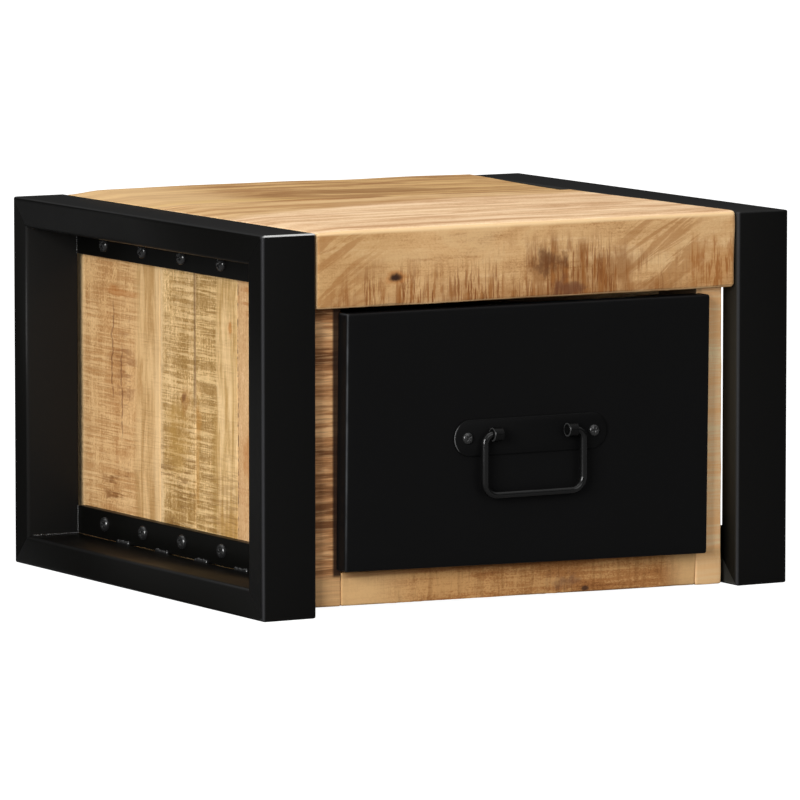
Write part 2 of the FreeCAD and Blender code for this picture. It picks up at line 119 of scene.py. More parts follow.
class SteelProperties(PropertyGroup):
    """Sizes and colours of the steelwork."""

    black: colour("Black coat", "The frames' powder coat", (0.0048, 0.0047, 0.0045))
    # The worn coat's colour is partly a painted highlight on the rounded edges.
    worn: colour("Worn coat", "The coat where edges have rubbed", (0.011, 0.011, 0.011))
    cover: colour("Cover coat", "The drawer cover's coat", (0.0046, 0.0046, 0.0047))
    bail: colour("Bail coat", "The bail's glossy coat", (0.0035, 0.0035, 0.0035))
    plate: colour("Plate coat", "The handle plate's coat", (0.0044, 0.0044, 0.0045))
    post: colour("Post coat", "The coat of the handle's posts", (0.0032, 0.0032, 0.0032))
    bead: colour("Weld coat", "The coat on the weld beads", (0.010, 0.010, 0.010))
    screw: colour("Screw coat", "The coat on the round-headed screws", (0.012, 0.012, 0.012))
    # A painted glint: the colour the beads and screws show on their edges and specks.
    bright: colour("Bright edge", "Where beads and screws shine through", (0.16, 0.16, 0.16))
    gloss: share("Gloss", "How much the coat reflects", 0.05)
    tube_corner: length("Tube corner", "Outer radius of the tube's long edges", 2.5 * MM)
    ground_edge: length("Ground edge", "Radius where a welded corner was ground", 1.5 * MM)
    weld: length("Weld", "Radius of a weld bead", 1.9 * MM)
    ripple: length("Ripple", "Distance between the ripples of a bead", 1.6 * MM)
    screw_radius: length("Screw head", "Radius of a flange screw's head", 5.2 * MM)
    screw_height: length("Screw height", "Height of a flange screw's head", 2.8 * MM)
    panel_round: length("Panel edge", "Radius of the drawer cover's folded edges", 1.8 * MM)
    panel_sheet: length("Sheet", "Thickness of the drawer cover's sheet", 1.5 * MM)


class StageProperties(PropertyGroup):
    """Camera, light and how the case and the drawer hang."""

    camera_place: FloatVectorProperty(
        name="Camera place", description="Where the camera stands, in metres",
        default=(-2.6938, -4.69115, 0.7079), subtype="TRANSLATION", unit="LENGTH")
    camera_heading: FloatProperty(
        name="Heading", description="The camera's turn about the vertical",
        default=math.radians(-29.86), subtype="ANGLE")
    camera_pitch: FloatProperty(
        name="Pitch", description="How far the camera looks down",
        default=math.radians(6.23), subtype="ANGLE")
    lens: FloatProperty(
        name="Lens", description="Focal length in millimetres on a 36 mm sensor",
        default=364.1, min=1)
    zenith: FloatProperty(
        name="Zenith", description="Strength of the room's light from above", default=0.95)
    horizon: FloatProperty(
        name="Horizon", description="Strength of the room's light from the sides", default=0.035)
    glow: FloatProperty(
        name="Floor glow", description="How much the floor is washed out for the camera",
        default=1.0)
    key: FloatProperty(
        name="Overhead light", description="Power of the overhead softbox", default=20)
    front: FloatProperty(name="Front light", description="Power of the front softbox", default=19)
    side: FloatProperty(name="Side light", description="Power of the left softbox", default=158)
    case_skew: length("Case skew", "How far the case's foot drops at its right end", 2.2 * MM)
    case_spread: length("Case spread", "How far the right panel stands out", 0.8 * MM)
    drawer_skew: length("Drawer skew", "How far the drawer's foot drops at its right", 2.5 * MM)
    drawer_lean: FloatProperty(
        name="Drawer lean", description="How far the drawer leans to the right",
        default=math.radians(0.6), subtype="ANGLE")


# Meshes


def spaced(low, high, radius, step):
    """Coordinates from low to high, packed closely where the ends are rounded."""
    turns = [radius * (1 - math.tan(math.pi / 4 * (ARC_STEPS - i) / ARC_STEPS))
             for i in range(ARC_STEPS + 1)]
    clear = high - low - 2 * radius
    count = max(1, round(clear / step))
    flat = [low + radius + clear * i / count for i in range(1, count)]
    return [low + t for t in turns] + flat + [high - t for t in reversed(turns)]


def rounded_block(low, high, radius, steps, relief=None, open_side=None):
    """Points and faces of a box with rounded edges, its faces cut into a grid.

    relief(point, outward) gives a height to add to the face there. open_side is an
    (axis, end) whose face is left out. Returns points, faces and how far each point is
    turned away from a flat face, from 0 to 1.
    """
    grid = [spaced(low[a], high[a], radius, steps[a]) for a in range(3)]
    last = [len(line) - 1 for line in grid]
    points, faces, turned, lookup = [], [], [], {}

    def point(index):
        if index not in lookup:
            lookup[index] = len(points)
            flat = Vector([grid[a][index[a]] for a in range(3)])
            core = Vector([min(max(flat[a], low[a] + radius), high[a] - radius)
                           for a in range(3)])
            out = (flat - core).normalized()
            rise = relief(flat, out) if relief else 0.0
            points.append(core + out * (radius + rise))
            turned.append(min(1.0, (1 - max(abs(v) for v in out)) / (1 - math.sqrt(0.5))))
        return lookup[index]

    for axis in range(3):
        b, c = (axis + 1) % 3, (axis + 2) % 3
        for end in (0, last[axis]):
            if open_side == (axis, end > 0):
                continue
            for i in range(last[b]):
                for j in range(last[c]):
                    loop = []
                    for di, dj in ((0, 0), (1, 0), (1, 1), (0, 1)):
                        index = [0, 0, 0]
                        index[axis], index[b], index[c] = end, i + di, j + dj
                        loop.append(point(tuple(index)))
                    faces.append(loop if end else loop[::-1])
    return points, faces, turned


def mesh_object(name, points, faces, turned=None):
    """A smooth-shaded object from points and faces, with its "turned" attribute."""
    mesh = bpy.data.meshes.new(name)
    mesh.from_pydata([tuple(p) for p in points], [], faces)
    if turned:
        mesh.attributes.new("turned", "FLOAT", "POINT").data.foreach_set("value", turned)
    mesh.shade_smooth()
    thing = bpy.data.objects.new(name, mesh)
    bpy.context.scene.collection.objects.link(thing)
    return thing


def fit_out(thing, material, body, replaces=()):
    """Gives a finished piece its material and body, and hides the CAD nodes it stands for."""
    if material:
        thing.data.materials.clear()
        thing.data.materials.append(material)
    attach(thing, body)
    if replaces:
        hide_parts(*replaces)
    return thing


def flatten(thing):
    """Applies an object's modifiers by making a plain mesh of what they give."""
    depsgraph = bpy.context.evaluated_depsgraph_get()
    depsgraph.update()
    mesh = bpy.data.meshes.new_from_object(thing.evaluated_get(depsgraph))
    thing.modifiers.clear()
    thing.data = mesh
    mesh.name = thing.name
    return thing


def keep_half(thing, on_plane, cut_away):
    """Cuts a closed mesh with a plane, drops what cut_away points to and fills the cut."""
    work = bmesh.new()
    work.from_mesh(thing.data)
    everything = work.verts[:] + work.edges[:] + work.faces[:]
    cut = bmesh.ops.bisect_plane(
        work, geom=everything, plane_co=on_plane, plane_no=cut_away, clear_outer=True)
    rim = [e for e in cut["geom_cut"] if isinstance(e, bmesh.types.BMEdge)]
    bmesh.ops.contextual_create(work, geom=rim)
    work.to_mesh(thing.data)
    work.free()
    return thing


def faced_outwards(thing, merge=0.0):
    """Turns a closed mesh's faces outwards, once points nearer than merge are one."""
    work = bmesh.new()
    work.from_mesh(thing.data)
    if merge:
        bmesh.ops.remove_doubles(work, verts=work.verts[:], dist=merge)
        loose = [v for v in work.verts if not v.link_faces]
        bmesh.ops.delete(work, geom=loose, context="VERTS")
    bmesh.ops.recalc_face_normals(work, faces=work.faces[:])
    work.to_mesh(thing.data)
    work.free()
    thing.data.shade_smooth()
    return thing


def rings_to_faces(rings, size):
    """The quads between rings of size points each, and the two end faces."""
    faces = []
    for ring in range(rings - 1):
        for i in range(size):
            a, b = ring * size + i, ring * size + (i + 1) % size
            faces.append([a, b, b + size, a + size])
    faces.append(list(range(size))[::-1])
    faces.append([(rings - 1) * size + i for i in range(size)])
    return faces


def smoothstep(low, high, value):
    t = min(1.0, max(0.0, (value - low) / (high - low)))
    return t * t * (3 - 2 * t)


# Node trees


class Graph:
    """Adds nodes to a tree, so that what they do reads from top to bottom."""

    def __init__(self, tree):
        self.tree = tree

    def add(self, kind, values=None, out=0, **settings):
        """A node with settings and input values or links. Returns one of its outputs."""
        node = self.tree.nodes.new(kind)
        for name, value in settings.items():
            setattr(node, name, value)
        for key, value in (values or {}).items():
            self.put(node.inputs[key], value)
        return node.outputs[out] if out is not None else node

    def put(self, socket, value):
        if isinstance(value, bpy.types.NodeSocket):
            self.tree.links.new(value, socket)
        else:
            socket.default_value = value

    def maths(self, operation, a, b=0.0, clamp=False):
        return self.add("ShaderNodeMath", {0: a, 1: b}, operation=operation, use_clamp=clamp)

    def scaled(self, vector, factors):
        return self.add("ShaderNodeVectorMath", {0: vector, 1: factors}, operation="MULTIPLY")

    def shifted(self, vector, offset):
        return self.add("ShaderNodeVectorMath", {0: vector, 1: offset}, operation="ADD")

    def noise(self, vector, scale=1.0, detail=2.0, roughness=0.5, distortion=0.0):
        return self.add("ShaderNodeTexNoise", {
            "Vector": vector, "Scale": scale, "Detail": detail, "Roughness": roughness,
            "Distortion": distortion})

    def ramp(self, value, low, high):
        """0 below low, 1 above high, and smooth in between."""
        return self.add("ShaderNodeMapRange", {
            "Value": value, "From Min": low, "From Max": high},
            interpolation_type="SMOOTHSTEP")

    def mix(self, amount, a, b, blend="MIX"):
        return self.add("ShaderNodeMix", {0: amount, 6: a, 7: b}, out=2,
                        data_type="RGBA", blend_type=blend)

    def product(self, first, *others):
        for other in others:
            first = self.maths("MULTIPLY", first, other)
        return first

    def band(self, value, low, high, soft):
        """1 where the value is between low and high, with soft ends."""
        return self.product(self.ramp(value, low - soft, low + soft),
                            self.ramp(value, high + soft, high - soft))

    def blob(self, centre, size, ragged=0.5, grain=(120, 120, 120)):
        """1 round a centre, falling to 0 at size from it, with a ragged edge."""
        place = self.object_coordinates()
        away = self.add("ShaderNodeVectorMath", {0: place, 1: centre}, operation="SUBTRACT")
        away = self.add("ShaderNodeVectorMath", {0: away, 1: size}, operation="DIVIDE")
        distance = self.add("ShaderNodeVectorMath", {0: away}, out="Value", operation="LENGTH")
        edge = self.noise(self.scaled(place, grain), detail=3, roughness=0.6)
        edge = self.maths("MULTIPLY", self.maths("SUBTRACT", edge, 0.5), 4 * ragged)
        return self.ramp(self.maths("ADD", distance, edge), 1.0, 0.25)

    def place(self):
        """The object coordinates' three parts."""
        split = self.add("ShaderNodeSeparateXYZ", {0: self.object_coordinates()}, out=None)
        return split.outputs["X"], split.outputs["Y"], split.outputs["Z"]

    def stain(self, mask, strength, under, over):
        """The colour over laid on the colour under, by a mask and a strength."""
        return self.mix(self.maths("MULTIPLY", mask, strength), under, over)

    def cloud(self, scale, **settings):
        """Noise over the object. scale says how fine it is along each axis, per metre."""
        return self.noise(self.scaled(self.object_coordinates(), scale), **settings)

    def facing(self, axis):
        """How far the surface faces along an axis, from -1 to 1."""
        normal = self.add("ShaderNodeNewGeometry", out="Normal")
        return self.add("ShaderNodeSeparateXYZ", {0: normal}, out=axis)

    def swung(self, value, scale, width, **settings):
        """A value that wanders over the object, by up to half of width each way."""
        wander = self.maths("SUBTRACT", self.cloud(scale, **settings), 0.5)
        return self.maths("ADD", value, self.maths("MULTIPLY", wander, width))

    def object_coordinates(self):
        return self.add("ShaderNodeTexCoord", out="Object")

    def attribute(self, name):
        return self.add("ShaderNodeAttribute", out="Fac", attribute_name=name)


def node_group(name, inputs, outputs, kind="ShaderNodeTree"):
    """An empty group with named sockets, given as name: (type, default)."""
    group = bpy.data.node_groups.new(name, kind)
    for label, (socket_type, default) in inputs.items():
        socket = group.interface.new_socket(label, in_out="INPUT", socket_type=socket_type)
        if default is not None:
            socket.default_value = default
    for label, socket_type in outputs.items():
        group.interface.new_socket(label, in_out="OUTPUT", socket_type=socket_type)
    graph = Graph(group)
    start = group.nodes.new("NodeGroupInput")
    end = group.nodes.new("NodeGroupOutput")
    return group, graph, start.outputs, end.inputs


FLOAT = "NodeSocketFloat"
VECTOR = "NodeSocketVector"
COLOUR = "NodeSocketColor"


def sawn_wood_group():
    """Grain and saw marks. The vector's X runs along the grain; sizes are in metres."""
    group, g, given, result = node_group("Sawn wood", {
        "Vector": (VECTOR, None),
        "Dark": (COLOUR, (0.25, 0.1, 0.04, 1)),
        "Base": (COLOUR, (0.6, 0.4, 0.2, 1)),
        "Pale": (COLOUR, (0.75, 0.55, 0.3, 1)),
        "Marks": (COLOUR, (0.2, 0.1, 0.03, 1)),
        "Seed": (FLOAT, 0.0),
        "Figure": (FLOAT, 0.5),
        "Fibre": (FLOAT, 1.0),
        "Sawing": (FLOAT, 0.5),
        "Saw cover": (FLOAT, 0.5),
    }, {"Color": COLOUR, "Roughness": FLOAT, "Height": FLOAT})
    seed = g.add("ShaderNodeCombineXYZ", {
        0: g.maths("MULTIPLY", given["Seed"], 0.37),
        1: g.maths("MULTIPLY", given["Seed"], 0.71),
        2: g.maths("MULTIPLY", given["Seed"], 0.53)})
    place = g.shifted(given["Vector"], seed)

    def swing(texture, amount):
        return g.maths("MULTIPLY", g.maths("SUBTRACT", texture, 0.5), amount)

    broad = g.noise(g.scaled(place, (4, 30, 30)), detail=3, distortion=0.8)
    streak = g.noise(g.scaled(place, (9, 170, 170)), detail=5, roughness=0.62, distortion=0.5)
    fibre = g.noise(g.scaled(place, (45, 900, 900)), detail=3, roughness=0.6)
    speckle = g.noise(g.scaled(place, (520, 760, 760)), detail=3, roughness=0.75)
    mottle = g.noise(g.scaled(place, (26, 42, 42)), detail=5, roughness=0.65, distortion=0.6)
    figure = g.maths("ADD", swing(broad, 1.2), swing(streak, 1.1))
    figure = g.maths("MULTIPLY", g.maths("ADD", figure, swing(mottle, 1.0)), given["Figure"])
    fine = g.maths("MULTIPLY", g.maths("ADD", swing(fibre, 0.7), swing(speckle, 1.25)),
                   given["Fibre"])
    tone = g.maths("ADD", g.maths("ADD", figure, fine), 0.5)
    wood = g.mix(g.ramp(tone, 0.52, 0.12), given["Base"], given["Dark"])
    wood = g.mix(g.ramp(tone, 0.48, 0.88), wood, given["Pale"])

    lines = g.noise(g.scaled(place, (560, 15, 15)), detail=3, roughness=0.7)
    coarse = g.noise(g.scaled(place, (230, 22, 22)), detail=3, roughness=0.65)
    cover = g.noise(g.scaled(place, (15, 30, 30)), detail=4, roughness=0.65, distortion=0.5)
    edge = g.maths("SUBTRACT", 0.78, g.maths("MULTIPLY", given["Saw cover"], 0.52))
    patch = g.ramp(cover, edge, g.maths("ADD", edge, 0.15))
    marks = g.maths("ADD", g.maths("MULTIPLY", g.ramp(lines, 0.48, 0.58), 0.75),
                    g.maths("MULTIPLY", g.ramp(coarse, 0.50, 0.60), 0.55), clamp=True)
    broken = g.ramp(g.noise(g.scaled(place, (60, 60, 60)), detail=4), 0.34, 0.50)
    between = g.product(g.ramp(lines, 0.48, 0.42), patch, given["Sawing"], 0.9)
    wood = g.mix(between, wood, given["Pale"])
    sawn = g.product(marks, patch, broken, given["Sawing"])
    wood = g.mix(g.product(patch, given["Sawing"], 0.22), wood, given["Marks"])
    wood = g.mix(sawn, wood, given["Marks"])

    ground = g.maths("ADD", g.maths("MULTIPLY", fibre, 0.35), g.maths("MULTIPLY", streak, 0.3))
    ground = g.maths("ADD", ground, g.maths("MULTIPLY", speckle, 0.25))
    g.put(result["Color"], wood)
    g.put(result["Height"], g.maths("SUBTRACT", ground, g.maths("MULTIPLY", sawn, 0.8)))
    g.put(result["Roughness"], g.maths("ADD", 0.60, g.maths("MULTIPLY", fibre, 0.25)))
    return group


def black_coat_group():
    """Powder-coated steel: a faint orange peel, dust, and paler edges that are partly wear and
    partly a painted highlight.
    """
    group, g, given, result = node_group("Black coat", {
        "Vector": (VECTOR, None),
        "Coat": (COLOUR, (0.01, 0.01, 0.01, 1)),
        "Worn": (COLOUR, (0.05, 0.05, 0.05, 1)),
        "Edge": (FLOAT, 0.0),
        "Roughness": (FLOAT, 0.4),
    }, {"Color": COLOUR, "Roughness": FLOAT, "Height": FLOAT})
    peel = g.noise(given["Vector"], scale=900, detail=2)
    cloud = g.noise(given["Vector"], scale=18, detail=4, roughness=0.6)
    dust = g.noise(given["Vector"], scale=2600, detail=1)
    rub = g.noise(given["Vector"], scale=70, detail=4, roughness=0.7)
    # Paler rounded edges: partly worn coat, partly a painted highlight. For the screws and beads
    # the second colour is a painted glint.
    edge = g.maths("MULTIPLY", g.ramp(given["Edge"], 0.35, 1.0), g.ramp(rub, 0.10, 0.50))
    body = g.stain(g.ramp(cloud, 0.4, 0.8), 0.03, given["Coat"], given["Worn"])
    body = g.stain(g.ramp(dust, 0.74, 0.82), 0.15, body, given["Worn"])
    g.put(result["Color"], g.mix(edge, body, given["Worn"]))
    rough = g.maths("ADD", given["Roughness"],
                    g.maths("MULTIPLY", g.maths("SUBTRACT", cloud, 0.5), 0.08))
    g.put(result["Roughness"], g.maths("SUBTRACT", rough, g.maths("MULTIPLY", edge, 0.06)))
    g.put(result["Height"], peel)
    return group


def shared_group(name, build):
    return bpy.data.node_groups.get(name) or build()


def new_material(name):
    """A material with an empty tree but for its output and Principled shader."""
    material = bpy.data.materials.new(name)
    material.use_nodes = True
    tree = material.node_tree
    tree.nodes.clear()
    graph = Graph(tree)
    shader = graph.add("ShaderNodeBsdfPrincipled", out=None)
    graph.add("ShaderNodeOutputMaterial", {"Surface": shader.outputs[0]}, out=None)
    return material, graph, shader


def finish_shader(graph, shader, colour_out, rough_out, height_out, depth):
    graph.put(shader.inputs["Base Color"], colour_out)
    graph.put(shader.inputs["Roughness"], rough_out)
    bump = graph.add("ShaderNodeBump", {"Height": height_out, "Distance": depth, "Strength": 1.0})
    graph.put(shader.inputs["Normal"], bump)


def grain_vector(graph, along):
    """Object coordinates turned so that X runs along the grain."""
    turns = {"x": (0, 0, 0), "y": (0, 0, -math.pi / 2), "z": (0, math.pi / 2, 0)}
    return graph.add("ShaderNodeMapping", {
        "Vector": graph.object_coordinates(), "Rotation": turns[along]})


def wood_material(name, along, colours, marks, seed, figure=0.5, fibre=1.0, sawing=0.5,
                  cover=0.5, paint=None, depth=0.35 * MM, rubbed_and_highlit=0.3):
    """A board. colours are its dark, base and pale; paint(graph, colour) adds its own marks."""
    if name in bpy.data.materials:
        return bpy.data.materials[name]
    dark, base, pale = colours
    material, g, shader = new_material(name)
    group = shared_group("Sawn wood", sawn_wood_group)
    wood = g.add("ShaderNodeGroup", {}, out=None, node_tree=group)
    for key, value in {
        "Vector": grain_vector(g, along), "Dark": dark, "Base": base, "Pale": pale,
        "Marks": marks, "Seed": seed, "Figure": figure, "Fibre": fibre, "Sawing": sawing,
        "Saw cover": cover,
    }.items():
        g.put(wood.inputs[key], value)
    colour_out = wood.outputs["Color"]
    if paint:
        colour_out = paint(g, colour_out)
    # Paler arrises: partly worn wood, partly a painted highlight on the rounded edges.
    arris = g.ramp(g.attribute("turned"), 0.3, 1.0)
    colour_out = g.stain(arris, rubbed_and_highlit, colour_out, pale)
    finish_shader(g, shader, colour_out, wood.outputs["Roughness"], wood.outputs["Height"], depth)
    shader.inputs["Specular IOR Level"].default_value = 0.2
    return material


def steel_material(name, coat, worn, roughness, gloss, peel=0.02 * MM, paint=None):
    """Coated steel. worn is its colour on worn edges, partly a painted highlight; paint(graph,
    colour) adds more marks.
    """
    if name in bpy.data.materials:
        return bpy.data.materials[name]
    material, g, shader = new_material(name)
    node = g.add("ShaderNodeGroup", {}, out=None,
                 node_tree=shared_group("Black coat", black_coat_group))
    for key, value in {
        "Vector": g.object_coordinates(), "Coat": coat, "Worn": worn,
        "Edge": g.attribute("turned"), "Roughness": roughness,
    }.items():
        g.put(node.inputs[key], value)
    colour_out = node.outputs["Color"]
    if paint:
        colour_out = paint(g, colour_out)
    finish_shader(g, shader, colour_out, node.outputs["Roughness"], node.outputs["Height"], peel)
    shader.inputs["Specular IOR Level"].default_value = gloss
    return material


# Boards


def board_relief(props, along, seed, sawn=1.0, calm=None):
    """The relief of a rough board: slow waves, saw marks across the grain, uneven edges.

    calm(point) may fade it out, from 1 to 0, where a board has to meet its neighbour.
    """
    def relief(point, out):
        place = point + Vector((seed, seed * 2, seed * 3))
        wave = noise.noise(place * 16) * props.sway
        run = point[along] / props.saw_pitch
        across = place * 9
        across[along] = run
        patch = smoothstep(-0.1, 0.35, noise.noise(place * 22 + Vector((7, 7, 7))))
        mark = noise.noise(across) * props.saw_depth * patch * sawn
        flatness = max(abs(v) for v in out)
        edge = (1 - flatness) * noise.noise(place * 45) * 2.4 * MM
        rise = wave + (mark if abs(out[along]) < 0.5 else 0) + edge
        return rise * (calm(point) if calm else 1.0)
    return relief


def board(name, low, high, radius, along, props, material, body, replaces=(),
          seed=0.0, sawn=1.0, fine=1.3 * MM, coarse=6 * MM, adjust=None, calm=None, ride=True):
    """A board whose grid is fine along the grain, where the saw marks cross it.

    adjust(point) moves each of its points, and calm fades its relief out. With ride off it
    is left to be cut and fitted out by the caller.
    """
    steps = [coarse, coarse, coarse]
    steps[along] = fine if sawn else coarse
    relief = board_relief(props, along, seed, sawn, calm)
    points, faces, turned = rounded_block(low, high, radius, steps, relief)
    if adjust:
        points = [adjust(p) for p in points]
    thing = mesh_object(name, points, faces, turned)
    if ride:
        fit_out(thing, material, body, replaces)
    return thing


class SIDETABLE_OT_top(Operator):
    """Makes the two boards of the top and the apron under its front edge"""

    bl_idname = "sidetable.top"
    bl_label = "Top and apron"

    def execute(self, context):
        wood = context.scene.sidetable_wood
        front_low, front_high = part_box("top_front_board")
        back_low, back_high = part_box("top_back_board")
        apron_low, apron_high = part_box("top_front_apron")
        surface = front_high.z
        mitre_top = Vector((0, apron_low.y, surface))
        mitre_foot = Vector((0, apron_high.y, front_low.z))
        slope = (mitre_foot - mitre_top).normalized()
        upward = Vector((0, -slope.z, slope.y))
        calm_span, end_drop, end_span = 6 * MM, 1.2 * MM, 25 * MM

        def near_mitre(point):
            away = abs((point - mitre_top).dot(upward))
            return smoothstep(0.0, calm_span, away)

        def left_end(x):
            """How far the boards' left ends lie lower, to be flush with the frame."""
            return -end_drop * smoothstep(front_high.x - end_span, front_high.x, -x)

        def sunk(point):
            """The front board also dips a little towards the right end of the joint."""
            share_up = max(0.0, (point.z - front_low.z) / (surface - front_low.z))
            right = smoothstep(0.2 * front_high.x, front_high.x, point.x)
            rear = smoothstep(-130 * MM, front_high.y, point.y)
            change = left_end(point.x) - 1.0 * MM * right * rear
            return Vector((point.x, point.y, point.z + change * share_up))

        front = board(
            "top_front_board_wood", (front_low.x, apron_low.y, front_low.z),
            (front_high.x, front_high.y, surface), wood.arris, 0, wood,
            None, "root", seed=1.3, sawn=0.5, adjust=sunk, calm=near_mitre,
            ride=False)
        keep_half(front, mitre_top, -upward)
        fit_out(front, front_top_material(wood), "root", ["top_front_board"])

        apron = board(
            "top_apron_wood", (apron_low.x, apron_low.y, apron_low.z),
            (apron_high.x, apron_high.y, surface), wood.arris, 0, wood,
            None, "root", seed=4.1, adjust=sunk, calm=near_mitre, ride=False)
        keep_half(apron, mitre_top, upward)
        fit_out(apron, apron_material(wood), "root", ["top_front_apron"])

        board_end = back_high.x

        def cupped(point):
            """The back board has twisted: its rear is high and its front right corner low."""
            share_up = max(0.0, (point.z - back_low.z) / (back_high.z - back_low.z))
            right = smoothstep(-0.3 * board_end, board_end, point.x)
            forward = 1 - smoothstep(back_low.y, back_high.y + 20 * MM, point.y)
            change = 1.1 * MM * (1 - forward) * (1 - right) - 2.6 * MM * right * forward
            change *= smoothstep(-board_end, -0.8 * board_end, point.x)
            change += 0.4 * MM * noise.noise(Vector((point.x * 14, point.y * 9, 2.0)))
            return Vector((point.x, point.y, point.z + (change + left_end(point.x)) * share_up))

        board("top_back_board_wood", back_low, back_high, wood.arris * 0.6, 0, wood,
              back_top_material(wood), "root", ["top_back_board"],
              seed=7.7, sawn=0.5, adjust=cupped)
        return {"FINISHED"}


def olive_part(g):
    """Where the top's wood turns from pinkish to olive: behind a line that bends across it."""
    x, y, _ = g.place()
    bend = g.maths("MULTIPLY", g.maths("MULTIPLY", x, x), -0.65)
    line = g.maths("ADD", g.maths("MULTIPLY", x, 0.22), bend)
    line = g.swung(line, (12, 30, 0), 60 * MM, detail=4, roughness=0.6)
    return g.ramp(g.maths("SUBTRACT", y, line), -12 * MM, 14 * MM)


def long_streaks(g, colour_in, colour_over, strength, across, low, high, seed):
    """Long streaks along X. across is how many there are in a metre."""
    place = g.shifted(g.object_coordinates(), (seed, seed * 2, seed * 3))
    waves = g.noise(g.scaled(place, (5, across, 6)), detail=4, roughness=0.6, distortion=0.5)
    return g.stain(g.ramp(waves, low, high), strength, colour_in, colour_over)


def front_top_material(wood):
    """The front board of the top: pinkish in front, olive behind a bent line."""
    olive_dark, olive_pale = (0.42, 0.22, 0.075, 1), (0.63, 0.40, 0.175, 1)

    def paint(g, colour_in):
        result = long_streaks(g, colour_in, (0.86, 0.62, 0.385, 1), 0.7, 60, 0.50, 0.60, 0.3)
        result = long_streaks(g, result, (0.46, 0.235, 0.10, 1), 0.6, 55, 0.53, 0.65, 1.9)
        streaks = g.ramp(g.cloud((7, 60, 5), detail=6, roughness=0.7), 0.42, 0.58)
        olive = g.mix(streaks, olive_dark, olive_pale)
        return g.stain(olive_part(g), 0.85, result, olive)

    colours = ((0.52, 0.30, 0.145, 1), wood.pink, (0.84, 0.60, 0.36, 1))
    return wood_material("front_board_wood", "x", colours, wood.brown, seed=0.6, figure=1.2,
                         fibre=0.9, sawing=0.05, cover=0.3, paint=paint, depth=0.12 * MM,
                         rubbed_and_highlit=0.8)


def back_top_material(wood):
    """The back board of the top: olive with dark and golden streaks, paler at the left."""
    def paint(g, colour_in):
        result = long_streaks(g, colour_in, (0.62, 0.39, 0.16, 1), 0.8, 60, 0.50, 0.57, 2.3)
        result = long_streaks(g, result, (0.26, 0.105, 0.028, 1), 0.65, 40, 0.54, 0.62, 4.1)
        x, _, _ = g.place()
        pale = g.ramp(x, -0.05, -0.11)
        result = g.stain(pale, 0.55, result, (0.74, 0.50, 0.25, 1))
        dark = g.blob((0.02, 0.092, 0.25), (0.12, 0.020, DEEP), 0.5, (12, 60, 60))
        result = g.stain(dark, 0.70, result, (0.25, 0.11, 0.028, 1))
        gold = g.blob((-0.09, 0.062, 0.25), (0.09, 0.016, DEEP), 0.5, (12, 90, 90))
        return g.stain(gold, 0.5, result, (0.60, 0.38, 0.13, 1))

    colours = ((0.32, 0.155, 0.05, 1), (0.43, 0.235, 0.085, 1), (0.60, 0.375, 0.16, 1))
    return wood_material("back_board_wood", "x", colours, wood.brown, seed=3.4, figure=0.9,
                         fibre=0.5, sawing=0.05, cover=0.3, paint=paint, depth=0.12 * MM)


